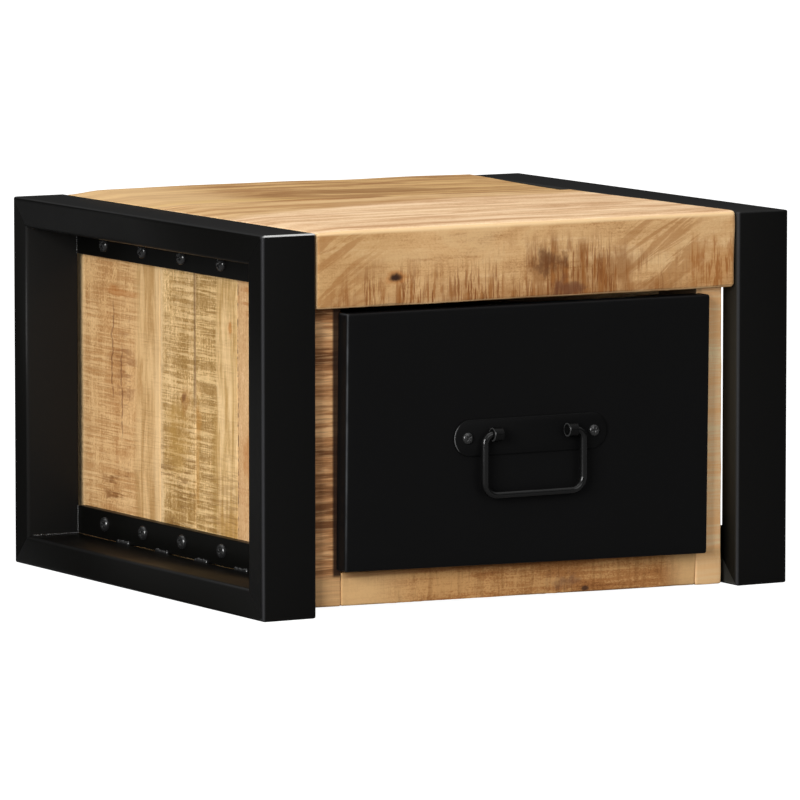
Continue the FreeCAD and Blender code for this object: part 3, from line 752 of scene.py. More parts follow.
def apron_material(wood):
    """The apron: swept grain at both ends, dark saw marks along its foot, knots, and a painted
    highlight along its top edge.
    """
    low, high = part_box("top_front_apron")
    face = low.y

    def upright_lines(g, pitch, long, low_edge, high_edge):
        """Saw marks across the apron, pitch apart and about long in length."""
        marks = g.cloud((1 / pitch, 8, 1 / long), detail=3, roughness=0.7)
        return g.ramp(marks, low_edge, high_edge)

    def paint(g, colour_in):
        x, _, z = g.place()
        mottle = g.cloud((18, 0, 34), detail=5, roughness=0.6, distortion=0.8)
        result = g.stain(g.ramp(mottle, 0.50, 0.64), 0.40, colour_in, (0.38, 0.185, 0.06, 1))
        result = g.stain(g.ramp(mottle, 0.48, 0.36), 0.40, result, (0.66, 0.44, 0.22, 1))
        result = g.stain(g.ramp(x, -0.07, -0.13), 0.35, result, (0.44, 0.255, 0.095, 1))

        slant = g.maths("ADD", g.maths("MULTIPLY", x, -0.55), z)
        sweep = g.add("ShaderNodeCombineXYZ", {0: g.maths("MULTIPLY", slant, 95),
                                               1: g.maths("MULTIPLY", x, 16)})
        sweep = g.noise(sweep, detail=5, roughness=0.65, distortion=1.1)
        left = g.ramp(x, low.x + 60 * MM, low.x + 20 * MM)
        right = g.product(g.ramp(x, 0.055, 0.090), g.ramp(x, 0.145, 0.120))
        swept = g.product(g.ramp(sweep, 0.46, 0.56), g.maths("MAXIMUM", left, right))
        result = g.stain(swept, 0.62, result, (0.35, 0.155, 0.045, 1))

        middle = g.blob((0.038, face, 0.209), (0.066, DEEP, 0.028), 0.6, (90, 40, 40))
        result = g.stain(middle, 0.70, result, (0.25, 0.095, 0.022, 1))
        foot = g.blob((-0.02, face, 0.200), (0.17, DEEP, 0.015), 0.6, (40, 40, 60))
        result = g.stain(foot, 0.45, result, (0.30, 0.125, 0.035, 1))

        reach = g.product(g.ramp(z, 0.236, 0.206), g.ramp(x, -0.158, -0.125),
                          g.ramp(x, 0.140, 0.095))
        tall = g.product(g.ramp(z, 0.249, 0.220), g.band(x, -0.015, 0.070, 20 * MM))
        reach = g.maths("MAXIMUM", reach, tall)
        patches = g.ramp(g.cloud((40, 0, 30), detail=3), 0.30, 0.50)
        clusters = g.ramp(g.cloud((75, 0, 12), detail=3), 0.36, 0.54)
        patches = g.maths("MULTIPLY", patches, clusters)
        fine = upright_lines(g, 1.3 * MM, 22 * MM, 0.50, 0.56)
        wide = upright_lines(g, 3.6 * MM, 30 * MM, 0.51, 0.59)
        result = g.stain(g.product(fine, reach, patches), 0.92, result, (0.21, 0.066, 0.012, 1))
        result = g.stain(g.product(wide, reach, patches), 0.75, result, (0.28, 0.10, 0.020, 1))

        end = g.blob((0.148, face, 0.214), (0.028, DEEP, 0.032), 0.6, (80, 80, 40))
        rust_lines = upright_lines(g, 2.6 * MM, 26 * MM, 0.46, 0.56)
        result = g.stain(end, 0.50, result, (0.42, 0.18, 0.045, 1))
        result = g.stain(g.product(end, rust_lines), 0.80, result, (0.30, 0.10, 0.018, 1))

        heart = g.blob((0.016, face, 0.224), (0.014, DEEP, 0.013), 0.7, (150, 150, 80))
        result = g.stain(heart, 0.75, result, (0.11, 0.036, 0.010, 1))
        purple = g.blob((0.0293, face, 0.2055), (0.014, DEEP, 0.009), 0.5)
        result = g.stain(purple, 0.75, result, (0.13, 0.045, 0.020, 1))
        knot = (-0.1004, face, 0.2183)
        halo = g.blob(knot, (0.011, DEEP, 0.007), 0.5)
        result = g.stain(halo, 0.55, result, wood.rust)
        pip = g.blob(knot, (0.0058, DEEP, 0.0038), 0.35)
        result = g.stain(pip, 0.97, result, (0.022, 0.007, 0.004, 1))
        # A painted highlight along the top edge.
        painted_crest = g.ramp(z, high.z - 3.2 * MM, high.z - 1.2 * MM)
        return g.stain(painted_crest, 0.85, result, (0.84, 0.59, 0.32, 1))

    colours = ((0.34, 0.155, 0.048, 1), wood.honey, (0.72, 0.48, 0.25, 1))
    return wood_material("apron_wood", "x", colours, wood.brown, seed=5.2, figure=0.65,
                         fibre=0.6, sawing=0.08, cover=0.35, paint=paint, rubbed_and_highlit=0.8)


class SIDETABLE_OT_case(Operator):
    """Makes the case: glued side boards, bottom, back and the strips inside"""

    bl_idname = "sidetable.case"
    bl_label = "Case"

    def execute(self, context):
        wood = context.scene.sidetable_wood
        for side in SIDES:
            side_boards(side, wood)
            for strip in ("top_cleat", "kicker"):
                node = f"{side}_{strip}"
                low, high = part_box(node)
                board(f"{node}_wood", low, high, wood.thin_arris, 1, wood,
                      plain_material(wood, "y"), "root", [node],
                      seed=2.0, sawn=0, coarse=12 * MM)
        low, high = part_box("bottom_board")
        board("bottom_board_wood", low, high, wood.arris * 0.5, 0, wood,
              bottom_material(wood), "root", ["bottom_board"], seed=9.1)
        back_boards(wood)
        return {"FINISHED"}


STAVES = (("first", 103.5 * MM), ("second", 57.2 * MM), ("third", 50.3 * MM), ("fourth", None))


def side_boards(side, wood):
    """Four upright boards glued edge to edge; the first is notched round the apron."""
    node = f"{side}_side_panel"
    low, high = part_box(node)
    apron_low, apron_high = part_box("top_front_apron")
    start = low.y
    for index, (place, width) in enumerate(STAVES):
        end = high.y if width is None else start + width

        def notched(point):
            if point.z > apron_low.z - 0.2 * MM:
                point.y = max(point.y, apron_high.y)
            return point

        board(f"{side}_side_{place}_board", (low.x, start, low.z), (high.x, end, high.z),
              wood.thin_arris * 1.3, 2, wood, side_material(wood, side, place), "root",
              [node], seed=index * 3.7 + SIDES[side],
              adjust=notched if index == 0 else None)
        start = end


def side_material(wood, side, place):
    """The material of one upright board. The two sides differ only in their seeds."""
    low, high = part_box(f"{side}_side_panel")
    face = low.x if side == "left" else high.x
    shift = 0.0 if side == "left" else 11.0
    makers = {"first": first_board, "second": second_board, "third": third_board,
              "fourth": fourth_board}
    return makers[place](wood, f"{side}_{place}_wood", face, low.y, shift)


def level_lines(g, pitch, long, low_edge, high_edge):
    """Saw marks across an upright board, pitch apart and about long in length."""
    marks = g.cloud((8, 1 / long, 1 / pitch), detail=3, roughness=0.7)
    return g.ramp(marks, low_edge, high_edge)


def lower_marks(g):
    """Dark marks, denser towards the foot of a side."""
    _, _, z = g.place()
    patches = g.ramp(g.cloud((30, 30, 45), detail=3), 0.42, 0.56)
    lines = level_lines(g, 2.4 * MM, 28 * MM, 0.50, 0.57)
    return g.product(lines, patches, g.ramp(z, 0.120, 0.060))


def first_board(wood, name, face, front, shift):
    """The front board of a side. Its front end, beside the drawer, is rougher, with painted shade
    on the left side's end and painted light on the right side's.
    """
    # The end colours are painted light: darker on the left side, which is in shade, paler on the
    # right side, which is lit.
    shaded_ends = ((0.17, 0.056, 0.015, 1), (0.52, 0.235, 0.088, 1), (0.86, 0.50, 0.235, 1))
    lit_ends = ((0.98, 0.56, 0.25, 1), (1.0, 0.66, 0.35, 1), (1.0, 0.76, 0.44, 1))
    deep, middle, light = shaded_ends if face < 0 else lit_ends
    cover_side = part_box("drawer_front_cover")[1].x - (0 if face < 0 else 1.5 * MM)
    shadow_strength = 0.95 if face < 0 else 0.25
    to_inside = 1.0 if face < 0 else -1.0

    def paint(g, colour_in):
        x, y, z = g.place()
        forward = g.facing("Y")
        at_end = g.ramp(forward, -0.4, -0.9)
        bands = g.cloud((9, 9, 75), detail=4, roughness=0.7)
        end = g.mix(g.ramp(bands, 0.42, 0.54), deep, middle)
        end = g.mix(g.ramp(bands, 0.54, 0.64), end, light)
        fine = g.cloud((18, 18, 620), detail=4, roughness=0.75)
        end = g.stain(g.ramp(fine, 0.50, 0.56), 0.45, end, deep)
        end = g.stain(g.ramp(fine, 0.48, 0.42), 0.40, end, light)
        result = g.stain(at_end, 0.92, colour_in, end)
        foot = g.product(at_end, g.ramp(z, 0.027, 0.022))
        result = g.stain(foot, 0.70, result, (0.62, 0.37, 0.165, 1))
        from_middle = g.maths("ABSOLUTE", x)
        shadow = g.product(g.ramp(from_middle, cover_side + 4.2 * MM, cover_side + 2.2 * MM),
                           at_end, g.ramp(z, 0.023, 0.026))
        result = g.stain(shadow, shadow_strength, result, (0.022, 0.010, 0.006, 1))
        # Painted shade on the inside faces near the top, where the case is in shadow.
        inward = g.maths("MULTIPLY", g.facing("X"), to_inside)
        painted_inner_shade = g.product(g.ramp(inward, 0.5, 0.9), g.ramp(z, 0.180, 0.188),
                          g.ramp(forward, -0.6, -0.3))
        result = g.stain(painted_inner_shade, 0.93, result, (0.02, 0.012, 0.007, 1))
        rosy = g.blob((face, -0.075, 0.095), (DEEP, 0.022, 0.018), 0.5, (60, 60, 60))
        result = g.stain(rosy, 0.45, result, wood.rust)
        top_rust = g.blob((face, -0.072, 0.200), (DEEP, 0.026, 0.020), 0.6, (60, 60, 60))
        red = level_lines(g, 4 * MM, 40 * MM, 0.46, 0.60)
        result = g.stain(g.product(top_rust, red), 0.55, result, wood.rust)
        joint = g.ramp(y, front + 101.0 * MM, front + 102.2 * MM)
        dashes = g.ramp(g.cloud((0, 0, 130), detail=3), 0.46, 0.56)
        return g.stain(g.product(joint, dashes), 0.9, result, wood.umber)

    colours = ((0.50, 0.26, 0.10, 1), wood.rose, (0.78, 0.52, 0.29, 1))
    return wood_material(name, "z", colours, (0.40, 0.15, 0.05, 1), seed=8.0 + shift,
                         figure=0.4, sawing=0.45, cover=0.45, paint=paint)


def second_board(wood, name, face, front, shift):
    """A board with smooth sapwood along its front edge and green saw marks behind it."""
    def paint(g, colour_in):
        _, y, z = g.place()
        line = g.swung(y, (0, 0, 16), 12 * MM, detail=3)
        grain = g.cloud((150, 150, 16), detail=6, roughness=0.7, distortion=0.7)
        sap = g.mix(g.ramp(grain, 0.38, 0.62), (0.50, 0.30, 0.105, 1), (0.82, 0.57, 0.29, 1))
        result = g.stain(g.ramp(line, front + 133.5 * MM, front + 130.0 * MM), 0.88,
                         colour_in, sap)
        olive_edge = g.band(line, front + 131 * MM, front + 136 * MM, 3 * MM)
        low_half = g.ramp(z, 0.140, 0.100)
        result = g.stain(g.product(olive_edge, low_half), 0.55, result, (0.36, 0.20, 0.045, 1))
        foot = g.blob((face, -0.040, 0.045), (DEEP, 0.020, 0.016), 0.7, (70, 70, 50))
        result = g.stain(foot, 0.60, result, (0.42, 0.22, 0.05, 1))
        result = g.stain(lower_marks(g), 0.40, result, (0.24, 0.115, 0.028, 1))
        orange = g.blob((face, -0.0442, 0.1778), (DEEP, 0.0035, 0.0075), 0.4)
        result = g.stain(orange, 0.85, result, (0.52, 0.22, 0.055, 1))
        warm = g.blob((face, 0.0015, 0.112), (DEEP, 0.010, 0.020), 0.7, (60, 60, 60))
        result = g.stain(warm, 0.55, result, (0.50, 0.24, 0.055, 1))
        streak = g.blob((face, 0.001, 0.075), (DEEP, 0.005, 0.045), 0.6, (90, 90, 30))
        return g.stain(streak, 0.55, result, (0.50, 0.25, 0.06, 1))

    colours = ((0.36, 0.21, 0.06, 1), wood.green, (0.88, 0.62, 0.31, 1))
    return wood_material(name, "z", colours, wood.moss, seed=13.0 + shift, figure=0.8,
                         fibre=1.7, sawing=0.70, cover=0.95, paint=paint)


def third_board(wood, name, face, front, shift):
    """A green board with an open joint in front, a knot and smooth sapwood behind."""
    def paint(g, colour_in):
        _, y, z = g.place()
        line = g.swung(y, (0, 0, 12), 6 * MM, detail=3)
        joint = g.ramp(line, front + 165.0 * MM, front + 161.5 * MM)
        high_half = g.ramp(z, 0.110, 0.135)
        result = g.stain(g.product(joint, high_half), 0.75, colour_in, (0.15, 0.078, 0.030, 1))
        smooth_edge = g.ramp(line, front + 204 * MM, front + 209 * MM)
        result = g.stain(smooth_edge, 0.75, result, wood.cream)
        result = g.stain(lower_marks(g), 0.75, result, (0.22, 0.105, 0.026, 1))
        golden = g.blob((face, 0.030, 0.095), (DEEP, 0.020, 0.028), 0.7, (50, 50, 50))
        result = g.stain(golden, 0.45, result, (0.46, 0.26, 0.06, 1))
        halo = g.blob((face, 0.0185, 0.122), (DEEP, 0.009, 0.013), 0.6, (90, 90, 90))
        result = g.stain(halo, 0.55, result, (0.40, 0.19, 0.05, 1))
        core = g.blob((face, 0.0195, 0.1245), (DEEP, 0.004, 0.006), 0.6, (160, 160, 160))
        return g.stain(core, 0.80, result, (0.20, 0.08, 0.025, 1))

    colours = ((0.36, 0.20, 0.055, 1), wood.green, (0.88, 0.62, 0.32, 1))
    return wood_material(name, "z", colours, wood.moss, seed=17.0 + shift, figure=0.8,
                         fibre=1.7, sawing=0.65, cover=0.95, paint=paint)


def fourth_board(wood, name, face, front, shift):
    """The wide rear board: smooth in front, sawn and cracked behind, paler at the back, partly as
    painted light where the rear leg's shadow falls.
    """
    def paint(g, colour_in):
        _, y, z = g.place()
        grain = g.cloud((130, 130, 14), detail=6, roughness=0.7, distortion=0.7)
        smooth_wood = g.mix(g.ramp(grain, 0.38, 0.62), (0.45, 0.255, 0.090, 1),
                            (0.74, 0.49, 0.235, 1))
        bent = g.swung(y, (0, 0, 20), 14 * MM, detail=3)
        result = g.stain(g.ramp(bent, front + 250 * MM, front + 240 * MM), 0.80, colour_in,
                         smooth_wood)
        edge = g.ramp(bent, front + 221 * MM, front + 215 * MM)
        result = g.stain(edge, 0.50, result, wood.cream)
        # Paler rear edge: partly the wood's colour, partly painted light where the rear leg casts
        # shadow.
        sideways = g.ramp(g.maths("ABSOLUTE", g.facing("X")), 0.5, 0.9)
        rear = g.product(g.ramp(y, front + 316 * MM, front + 326 * MM), sideways)
        result = g.stain(rear, 0.80, result, (0.95, 0.68, 0.36, 1))
        warm = g.blob((face, 0.112, 0.130), (DEEP, 0.030, 0.060), 0.5, (40, 40, 30))
        result = g.stain(warm, 0.35, result, (0.47, 0.22, 0.075, 1))
        low_patch = g.blob((face, 0.116, 0.055), (DEEP, 0.026, 0.018), 0.6, (60, 60, 50))
        bars = level_lines(g, 6 * MM, 40 * MM, 0.46, 0.58)
        result = g.stain(g.product(low_patch, bars), 0.75, result, wood.brown)
        mid_patch = g.blob((face, 0.103, 0.140), (DEEP, 0.024, 0.032), 0.6, (60, 60, 50))
        result = g.stain(g.product(mid_patch, bars), 0.60, result, (0.26, 0.10, 0.03, 1))
        for centre, low_end, high_end in ((0.1215, 0.118, 0.180), (0.108, 0.092, 0.150)):
            crack = g.swung(bent, (0, 0, 90), 9 * MM, detail=3)
            away = g.maths("ABSOLUTE", g.maths("SUBTRACT", crack, centre))
            gaps = g.ramp(g.cloud((0, 0, 140)), 0.34, 0.5)
            here = g.product(g.ramp(away, 1.5 * MM, 0.3 * MM), gaps,
                             g.band(z, low_end, high_end, 8 * MM))
            result = g.stain(here, 0.65, result, (0.16, 0.060, 0.022, 1))
        streak = g.blob((face, 0.112, 0.1885), (DEEP, 0.034, 0.0042), 0.5, (50, 50, 90))
        return g.stain(streak, 0.60, result, wood.rust)

    colours = ((0.43, 0.21, 0.075, 1), wood.tan, (0.80, 0.53, 0.26, 1))
    return wood_material(name, "z", colours, (0.42, 0.20, 0.065, 1), seed=23.0 + shift,
                         figure=0.8, fibre=1.5, sawing=0.60, cover=0.80, paint=paint)


def bottom_material(wood):
    """The bottom board's front edge: brown, paler at both ends, with two spots and a painted shadow
    along its top under the drawer.
    """
    low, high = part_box("bottom_board")

    def paint(g, colour_in):
        x, _, z = g.place()
        upright = g.cloud((300, 8, 30), detail=3, roughness=0.7)
        result = g.stain(g.ramp(upright, 0.50, 0.64), 0.35, colour_in, wood.brown)
        pale = g.maths("MAXIMUM", g.ramp(x, low.x + 70 * MM, low.x + 15 * MM),
                       g.ramp(x, 0.105, 0.130))
        result = g.stain(pale, 0.75, result, (0.70, 0.44, 0.20, 1))
        # A painted shadow along the top edge, under the drawer.
        painted_crest = g.product(g.ramp(z, high.z - 3.0 * MM, high.z - 0.8 * MM),
                          g.ramp(x, low.x - 5 * MM, low.x + 8 * MM))
        result = g.stain(painted_crest, 0.60, result, (0.16, 0.055, 0.016, 1))
        spot = g.blob((0.0333, low.y, 0.0105), (0.014, DEEP, 0.007), 0.6)
        result = g.stain(spot, 0.65, result, (0.16, 0.068, 0.035, 1))
        dot = g.blob((0.0498, low.y, 0.0045), (0.0035, DEEP, 0.002), 0.4)
        return g.stain(dot, 0.9, result, wood.umber)

    colours = ((0.21, 0.074, 0.018, 1), wood.chestnut, (0.56, 0.305, 0.115, 1))
    return wood_material("bottom_wood", "x", colours, wood.brown, seed=31.0, figure=1.0,
                         fibre=1.0, sawing=0.30, cover=0.6, paint=paint)


def plain_material(wood, along):
    """Planed wood for the drawer's box and the strips inside the case."""
    colours = ((0.44, 0.26, 0.12, 1), wood.plain, (0.72, 0.53, 0.31, 1))
    return wood_material(f"planed_wood_{along}", along, colours, wood.brown, seed=41.0,
                         figure=0.6, fibre=0.5, sawing=0.05, cover=0.3, depth=0.08 * MM)


def back_boards(wood):
    """The back is two boards, one over the other."""
    low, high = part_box("back_panel")
    middle = low.z + (high.z - low.z) * 0.47
    boards = (
        ("lower", low.z, middle, ((0.36, 0.20, 0.06, 1), wood.green, (0.72, 0.50, 0.25, 1))),
        ("upper", middle, high.z, ((0.40, 0.20, 0.07, 1), wood.tan, (0.72, 0.48, 0.26, 1))),
    )
    for index, (place, bottom, top, colours) in enumerate(boards):
        material = wood_material(f"back_{place}_wood", "x", colours, wood.moss,
                                 seed=51.0 + 6 * index, figure=0.8, sawing=0.5, cover=0.6)
        board(f"back_{place}_board", (low.x, low.y, bottom), (high.x, high.y, top),
              wood.thin_arris, 0, wood, material, "root", ["back_panel"],
              seed=61.0 + index, coarse=8 * MM)


# Steel frames


def frame_steel(steel):
    """The frames' coat, with painted bounce light on the right frame's inner faces and the rear
    legs' front faces, painted shade on the left frame's outer faces, and painted highlights on the
    left frame's top front edge and the legs' front edges.
    """
    low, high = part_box("left_front_leg")
    inner = -high.x
    right_painted_bounce, rear_painted_light = (0.032, 0.030, 0.024, 1), (0.0122, 0.0119, 0.0114, 1)
    outer_painted_shade, rubbed_and_highlit = (0.0030, 0.0029, 0.0025, 1), (0.032, 0.032, 0.034, 1)
    painted_highlight = (0.50, 0.50, 0.49, 1)

    def paint(g, colour_in):
        x, y, z = g.place()
        leftward = g.ramp(g.facing("X"), -0.6, -0.9)
        forward = g.ramp(g.facing("Y"), -0.6, -0.9)
        right_frame = g.ramp(x, inner - 10 * MM, inner - 2 * MM)
        left_frame = g.ramp(x, 10 * MM - inner, 2 * MM - inner)
        # Painted bounce light: the right frame's inner faces, which face the case, are lightened.
        result = g.stain(g.product(leftward, right_frame), 1.0, colour_in, right_painted_bounce)
        # Painted light: the rear legs' front faces are lightened.
        rear_legs = g.product(forward, g.ramp(y, 0.100, 0.150))
        result = g.stain(rear_legs, 1.0, result, rear_painted_light)
        # Painted shade: the left frame's outer faces are darkened.
        result = g.stain(g.product(leftward, left_frame), 1.0, result, outer_painted_shade)
        turned = g.attribute("turned")
        # A painted highlight along the left frame's top front edge.
        top_edge_highlight = g.product(g.ramp(turned, 0.3, 0.7), g.ramp(z, 0.2484, 0.2490),
                             g.ramp(y, low.y + 1.4 * MM, low.y + 0.9 * MM),
                             g.ramp(x, high.x + 5 * MM, high.x))
        result = g.stain(top_edge_highlight, 1.0, result, painted_highlight)
        # Painted highlights down the legs' front edges.
        outer_edge = g.ramp(x, low.x + 2.5 * MM, low.x + 1.0 * MM)
        inner_edge = g.band(x, inner - 1 * MM, inner + 2 * MM, 0.5 * MM)
        leg_edge_highlights = g.product(turned, g.maths("MAXIMUM", outer_edge, inner_edge),
                              g.ramp(y, low.y + 4 * MM, low.y + 2.5 * MM))
        return g.stain(leg_edge_highlights, 0.85, result, rubbed_and_highlit)

    return steel_material("frame_steel", steel.black, steel.worn, 0.36, steel.gloss, paint=paint)


def tube_profile(wide, deep, corner):
    """A closed loop round a tube: (place across the frame, depth from its outer face)."""
    centres = ((wide - corner, corner, -90), (wide - corner, deep - corner, 0),
               (corner, deep - corner, 90), (corner, corner, 180))
    loop = []
    for x, t, start in centres:
        for step in range(ARC_STEPS + 2):
            turn = math.radians(start + 90 * step / (ARC_STEPS + 1))
            bend = abs(math.sin(2 * turn))
            loop.append((x + corner * math.cos(turn), t + corner * math.sin(turn), bend))
    return loop


def tube_piece(name, profile, across, outer, along, ground):
    """A tube of a frame with mitred ends.

    across is the X of the tube's inner edge and its direction, outer is the outer face's
    axis, place and inward direction, and along is the tube's axis and its two ends. The
    frame's outer corners are rounded where the weld was ground.
    """
    inner_x, x_way = across
    out_axis, out_place, inward = outer
    run_axis, run_low, run_high = along
    turns = [math.pi / 4 * i / ARC_STEPS for i in range(ARC_STEPS + 1)]
    ends = [(run_low, 1, t) for t in reversed(turns)]
    ends += [(run_high, -1, t) for t in turns]
    points, turned = [], []
    for end, way, turn in ends:
        for x, depth, bend in profile:
            deep = max(depth, ground * (1 - math.cos(turn)))
            back = max(depth, ground * (1 - math.sin(turn)))
            place = [inner_x + x_way * x, 0.0, 0.0]
            place[out_axis] = out_place + inward * deep
            place[run_axis] = end + way * back
            points.append(place)
            shallow = 1 - smoothstep(0, ground, depth)
            turned.append(max(bend, shallow * math.sin(2 * turn)))
    faces = rings_to_faces(len(ends), len(profile))
    return faced_outwards(mesh_object(name, points, faces, turned), 0.002 * MM)


class SIDETABLE_OT_frames(Operator):
    """Makes the two welded frames of rectangular tube and their flat-bar flanges"""

    bl_idname = "sidetable.frames"
    bl_label = "Steel frames"

    def execute(self, context):
        steel = context.scene.sidetable_steel
        material = frame_steel(steel)
        for side, sign in SIDES.items():
            front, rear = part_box(f"{side}_front_leg"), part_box(f"{side}_rear_leg")
            top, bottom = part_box(f"{side}_top_rail"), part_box(f"{side}_bottom_rail")
            wide = front[1].x - front[0].x
            deep = front[1].y - front[0].y
            profile = tube_profile(wide, deep, steel.tube_corner)
            across = (front[1].x if sign < 0 else front[0].x, sign)
            ends_z = (2, bottom[0].z, top[1].z)
            ends_y = (1, front[0].y, rear[1].y)
            runs = {
                "front_leg": ((1, front[0].y, 1), ends_z),
                "rear_leg": ((1, rear[1].y, -1), ends_z),
                "top_rail": ((2, top[1].z, -1), ends_y),
                "bottom_rail": ((2, bottom[0].z, 1), ends_y),
            }
            for run, (outer, along) in runs.items():
                node = f"{side}_{run}"
                thing = tube_piece(f"{node}_steel", profile, across, outer, along,
                                   steel.ground_edge)
                fit_out(thing, material, "root", [node])
            for level in ("top", "bottom"):
                node = f"{side}_{level}_flange"
                low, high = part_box(node)
                points, faces, turned = rounded_block(low, high, 0.7 * MM, (10 * MM,) * 3)
                thing = mesh_object(f"{node}_steel", points, faces, turned)
                fit_out(thing, material, "root", [node])
        return {"FINISHED"}


# Screws and welds, by Geometry Nodes


def geometry_group(name, inputs):
    """A Geometry Nodes tree with a geometry output and named inputs."""
    return node_group(name, inputs, {"Geometry": "NodeSocketGeometry"}, "GeometryNodeTree")


def run_tree(name, group, values):
    """Runs a tree on an empty mesh and returns its result as a plain mesh object."""
    thing = mesh_object(name, [], [])
    modifier = thing.modifiers.new("made", "NODES")
    modifier.node_group = group
    for item in group.interface.items_tree:
        if item.in_out == "INPUT" and item.name in values:
            modifier[item.identifier] = values[item.name]
    return flatten(thing)


def screw_head(name, radius, height):
    """A domed head with a cross recess, standing on the XY plane."""
    rings, around, sunk = 8, 32, 0.2 * MM
    points = [(0, 0, -sunk), (0, 0, height)]
    arm, half = radius * 0.55, radius * 0.13
    for ring in range(rings + 1):
        share_out = ring / rings
        for i in range(around):
            angle = 2 * math.pi * i / around
            away = radius * share_out
            x, y = away * math.cos(angle), away * math.sin(angle)
            dome = height * (1 - 0.55 * share_out ** 2.4)
            rim = height * 0.45 * smoothstep(0.86, 1.0, share_out)
            z = dome - rim
            in_cross = (abs(x) < half and abs(y) < arm) or (abs(y) < half and abs(x) < arm)
            if in_cross:
                z -= height * 0.5 * (1 - away / (arm * 1.3))
            points.append((x, y, z))
    faces = []
    first = 2
    for ring in range(rings):
        for i in range(around):
            a = first + ring * around + i
            b = first + ring * around + (i + 1) % around
            faces.append([a, a + around, b + around, b])
    base = len(points)
    for i in range(around):
        x, y, _ = points[first + rings * around + i]
        points.append((x, y, -sunk))
    for i in range(around):
        a = first + rings * around + i
        b = first + rings * around + (i + 1) % around
        faces.append([a, base + i, base + (i + 1) % around, b])
        faces.append([0, base + (i + 1) % around, base + i])
    return faced_outwards(mesh_object(name, points, faces), 0.01 * MM)


def screw_row_group():
    """A row of screws with heads turned at random."""
    group, g, given, result = geometry_group("Screw row", {
        "Head": ("NodeSocketObject", None),
        "Material": ("NodeSocketMaterial", None),
        "Start": (VECTOR, (0, 0, 0)),
        "Step": (VECTOR, (0, 0.055, 0)),
        "Count": ("NodeSocketInt", 5),
        "Facing": ("NodeSocketRotation", None),
        "Seed": ("NodeSocketInt", 3),
    })
    line = g.add("GeometryNodeMeshLine", {
        "Count": given["Count"], "Start Location": given["Start"], "Offset": given["Step"]},
        mode="OFFSET")
    head = g.add("GeometryNodeObjectInfo", {"Object": given["Head"]}, out="Geometry")
    turn = g.add("FunctionNodeRandomValue", {2: 0.0, 3: math.pi, "Seed": given["Seed"]}, out=1)
    axis_turn = g.add("ShaderNodeCombineXYZ", {2: turn})
    spin = g.add("FunctionNodeEulerToRotation", {0: axis_turn})
    both = g.add("FunctionNodeRotateRotation", {0: given["Facing"], 1: spin},
                 rotation_space="LOCAL")
    placed = g.add("GeometryNodeInstanceOnPoints", {
        "Points": line, "Instance": head, "Rotation": both})
    real = g.add("GeometryNodeRealizeInstances", {0: placed})
    done = g.add("GeometryNodeSetMaterial", {0: real, "Material": given["Material"]})
    g.put(result["Geometry"], done)
    return group


def weld_group():
    """A weld bead: overlapping ripples along a line, uneven in size."""
    group, g, given, result = geometry_group("Weld bead", {
        "Material": ("NodeSocketMaterial", None),
        "Start": (VECTOR, (0, 0, 0)),
        "End": (VECTOR, (0, 0.01, 0)),
        "Count": ("NodeSocketInt", 9),
        "Radius": (FLOAT, 2 * MM),
        "Seed": ("NodeSocketInt", 1),
    })
    line = g.add("GeometryNodeMeshLine", {
        "Count": given["Count"], "Start Location": given["Start"], "Offset": given["End"]},
        mode="END_POINTS")
    ball = g.add("GeometryNodeMeshIcoSphere", {"Radius": given["Radius"], "Subdivisions": 2})
    size = g.add("FunctionNodeRandomValue", {
        0: (0.75, 0.75, 0.75), 1: (1.12, 1.12, 1.12), "Seed": given["Seed"]},
        data_type="FLOAT_VECTOR")
    jitter = g.add("FunctionNodeRandomValue", {
        0: (-0.2 * MM, -0.2 * MM, -0.2 * MM), 1: (0.2 * MM, 0.2 * MM, 0.2 * MM),
        "Seed": given["Seed"]}, data_type="FLOAT_VECTOR")
    moved = g.add("GeometryNodeSetPosition", {0: line, "Offset": jitter})
    beads = g.add("GeometryNodeInstanceOnPoints", {
        "Points": moved, "Instance": ball, "Scale": size})
    real = g.add("GeometryNodeRealizeInstances", {0: beads})
    smooth_out = g.add("GeometryNodeSetShadeSmooth", {0: real})
    done = g.add("GeometryNodeSetMaterial", {0: smooth_out, "Material": given["Material"]})
    g.put(result["Geometry"], done)
    return group


def joined(name, things):
    """One object from several."""
    work = bmesh.new()
    for thing in things:
        work.from_mesh(thing.data)
    mesh = bpy.data.meshes.new(name)
    work.to_mesh(mesh)
    work.free()
    mesh.shade_smooth()
    for thing in things:
        bpy.data.objects.remove(thing)
    whole = bpy.data.objects.new(name, mesh)
    bpy.context.scene.collection.objects.link(whole)
    return whole


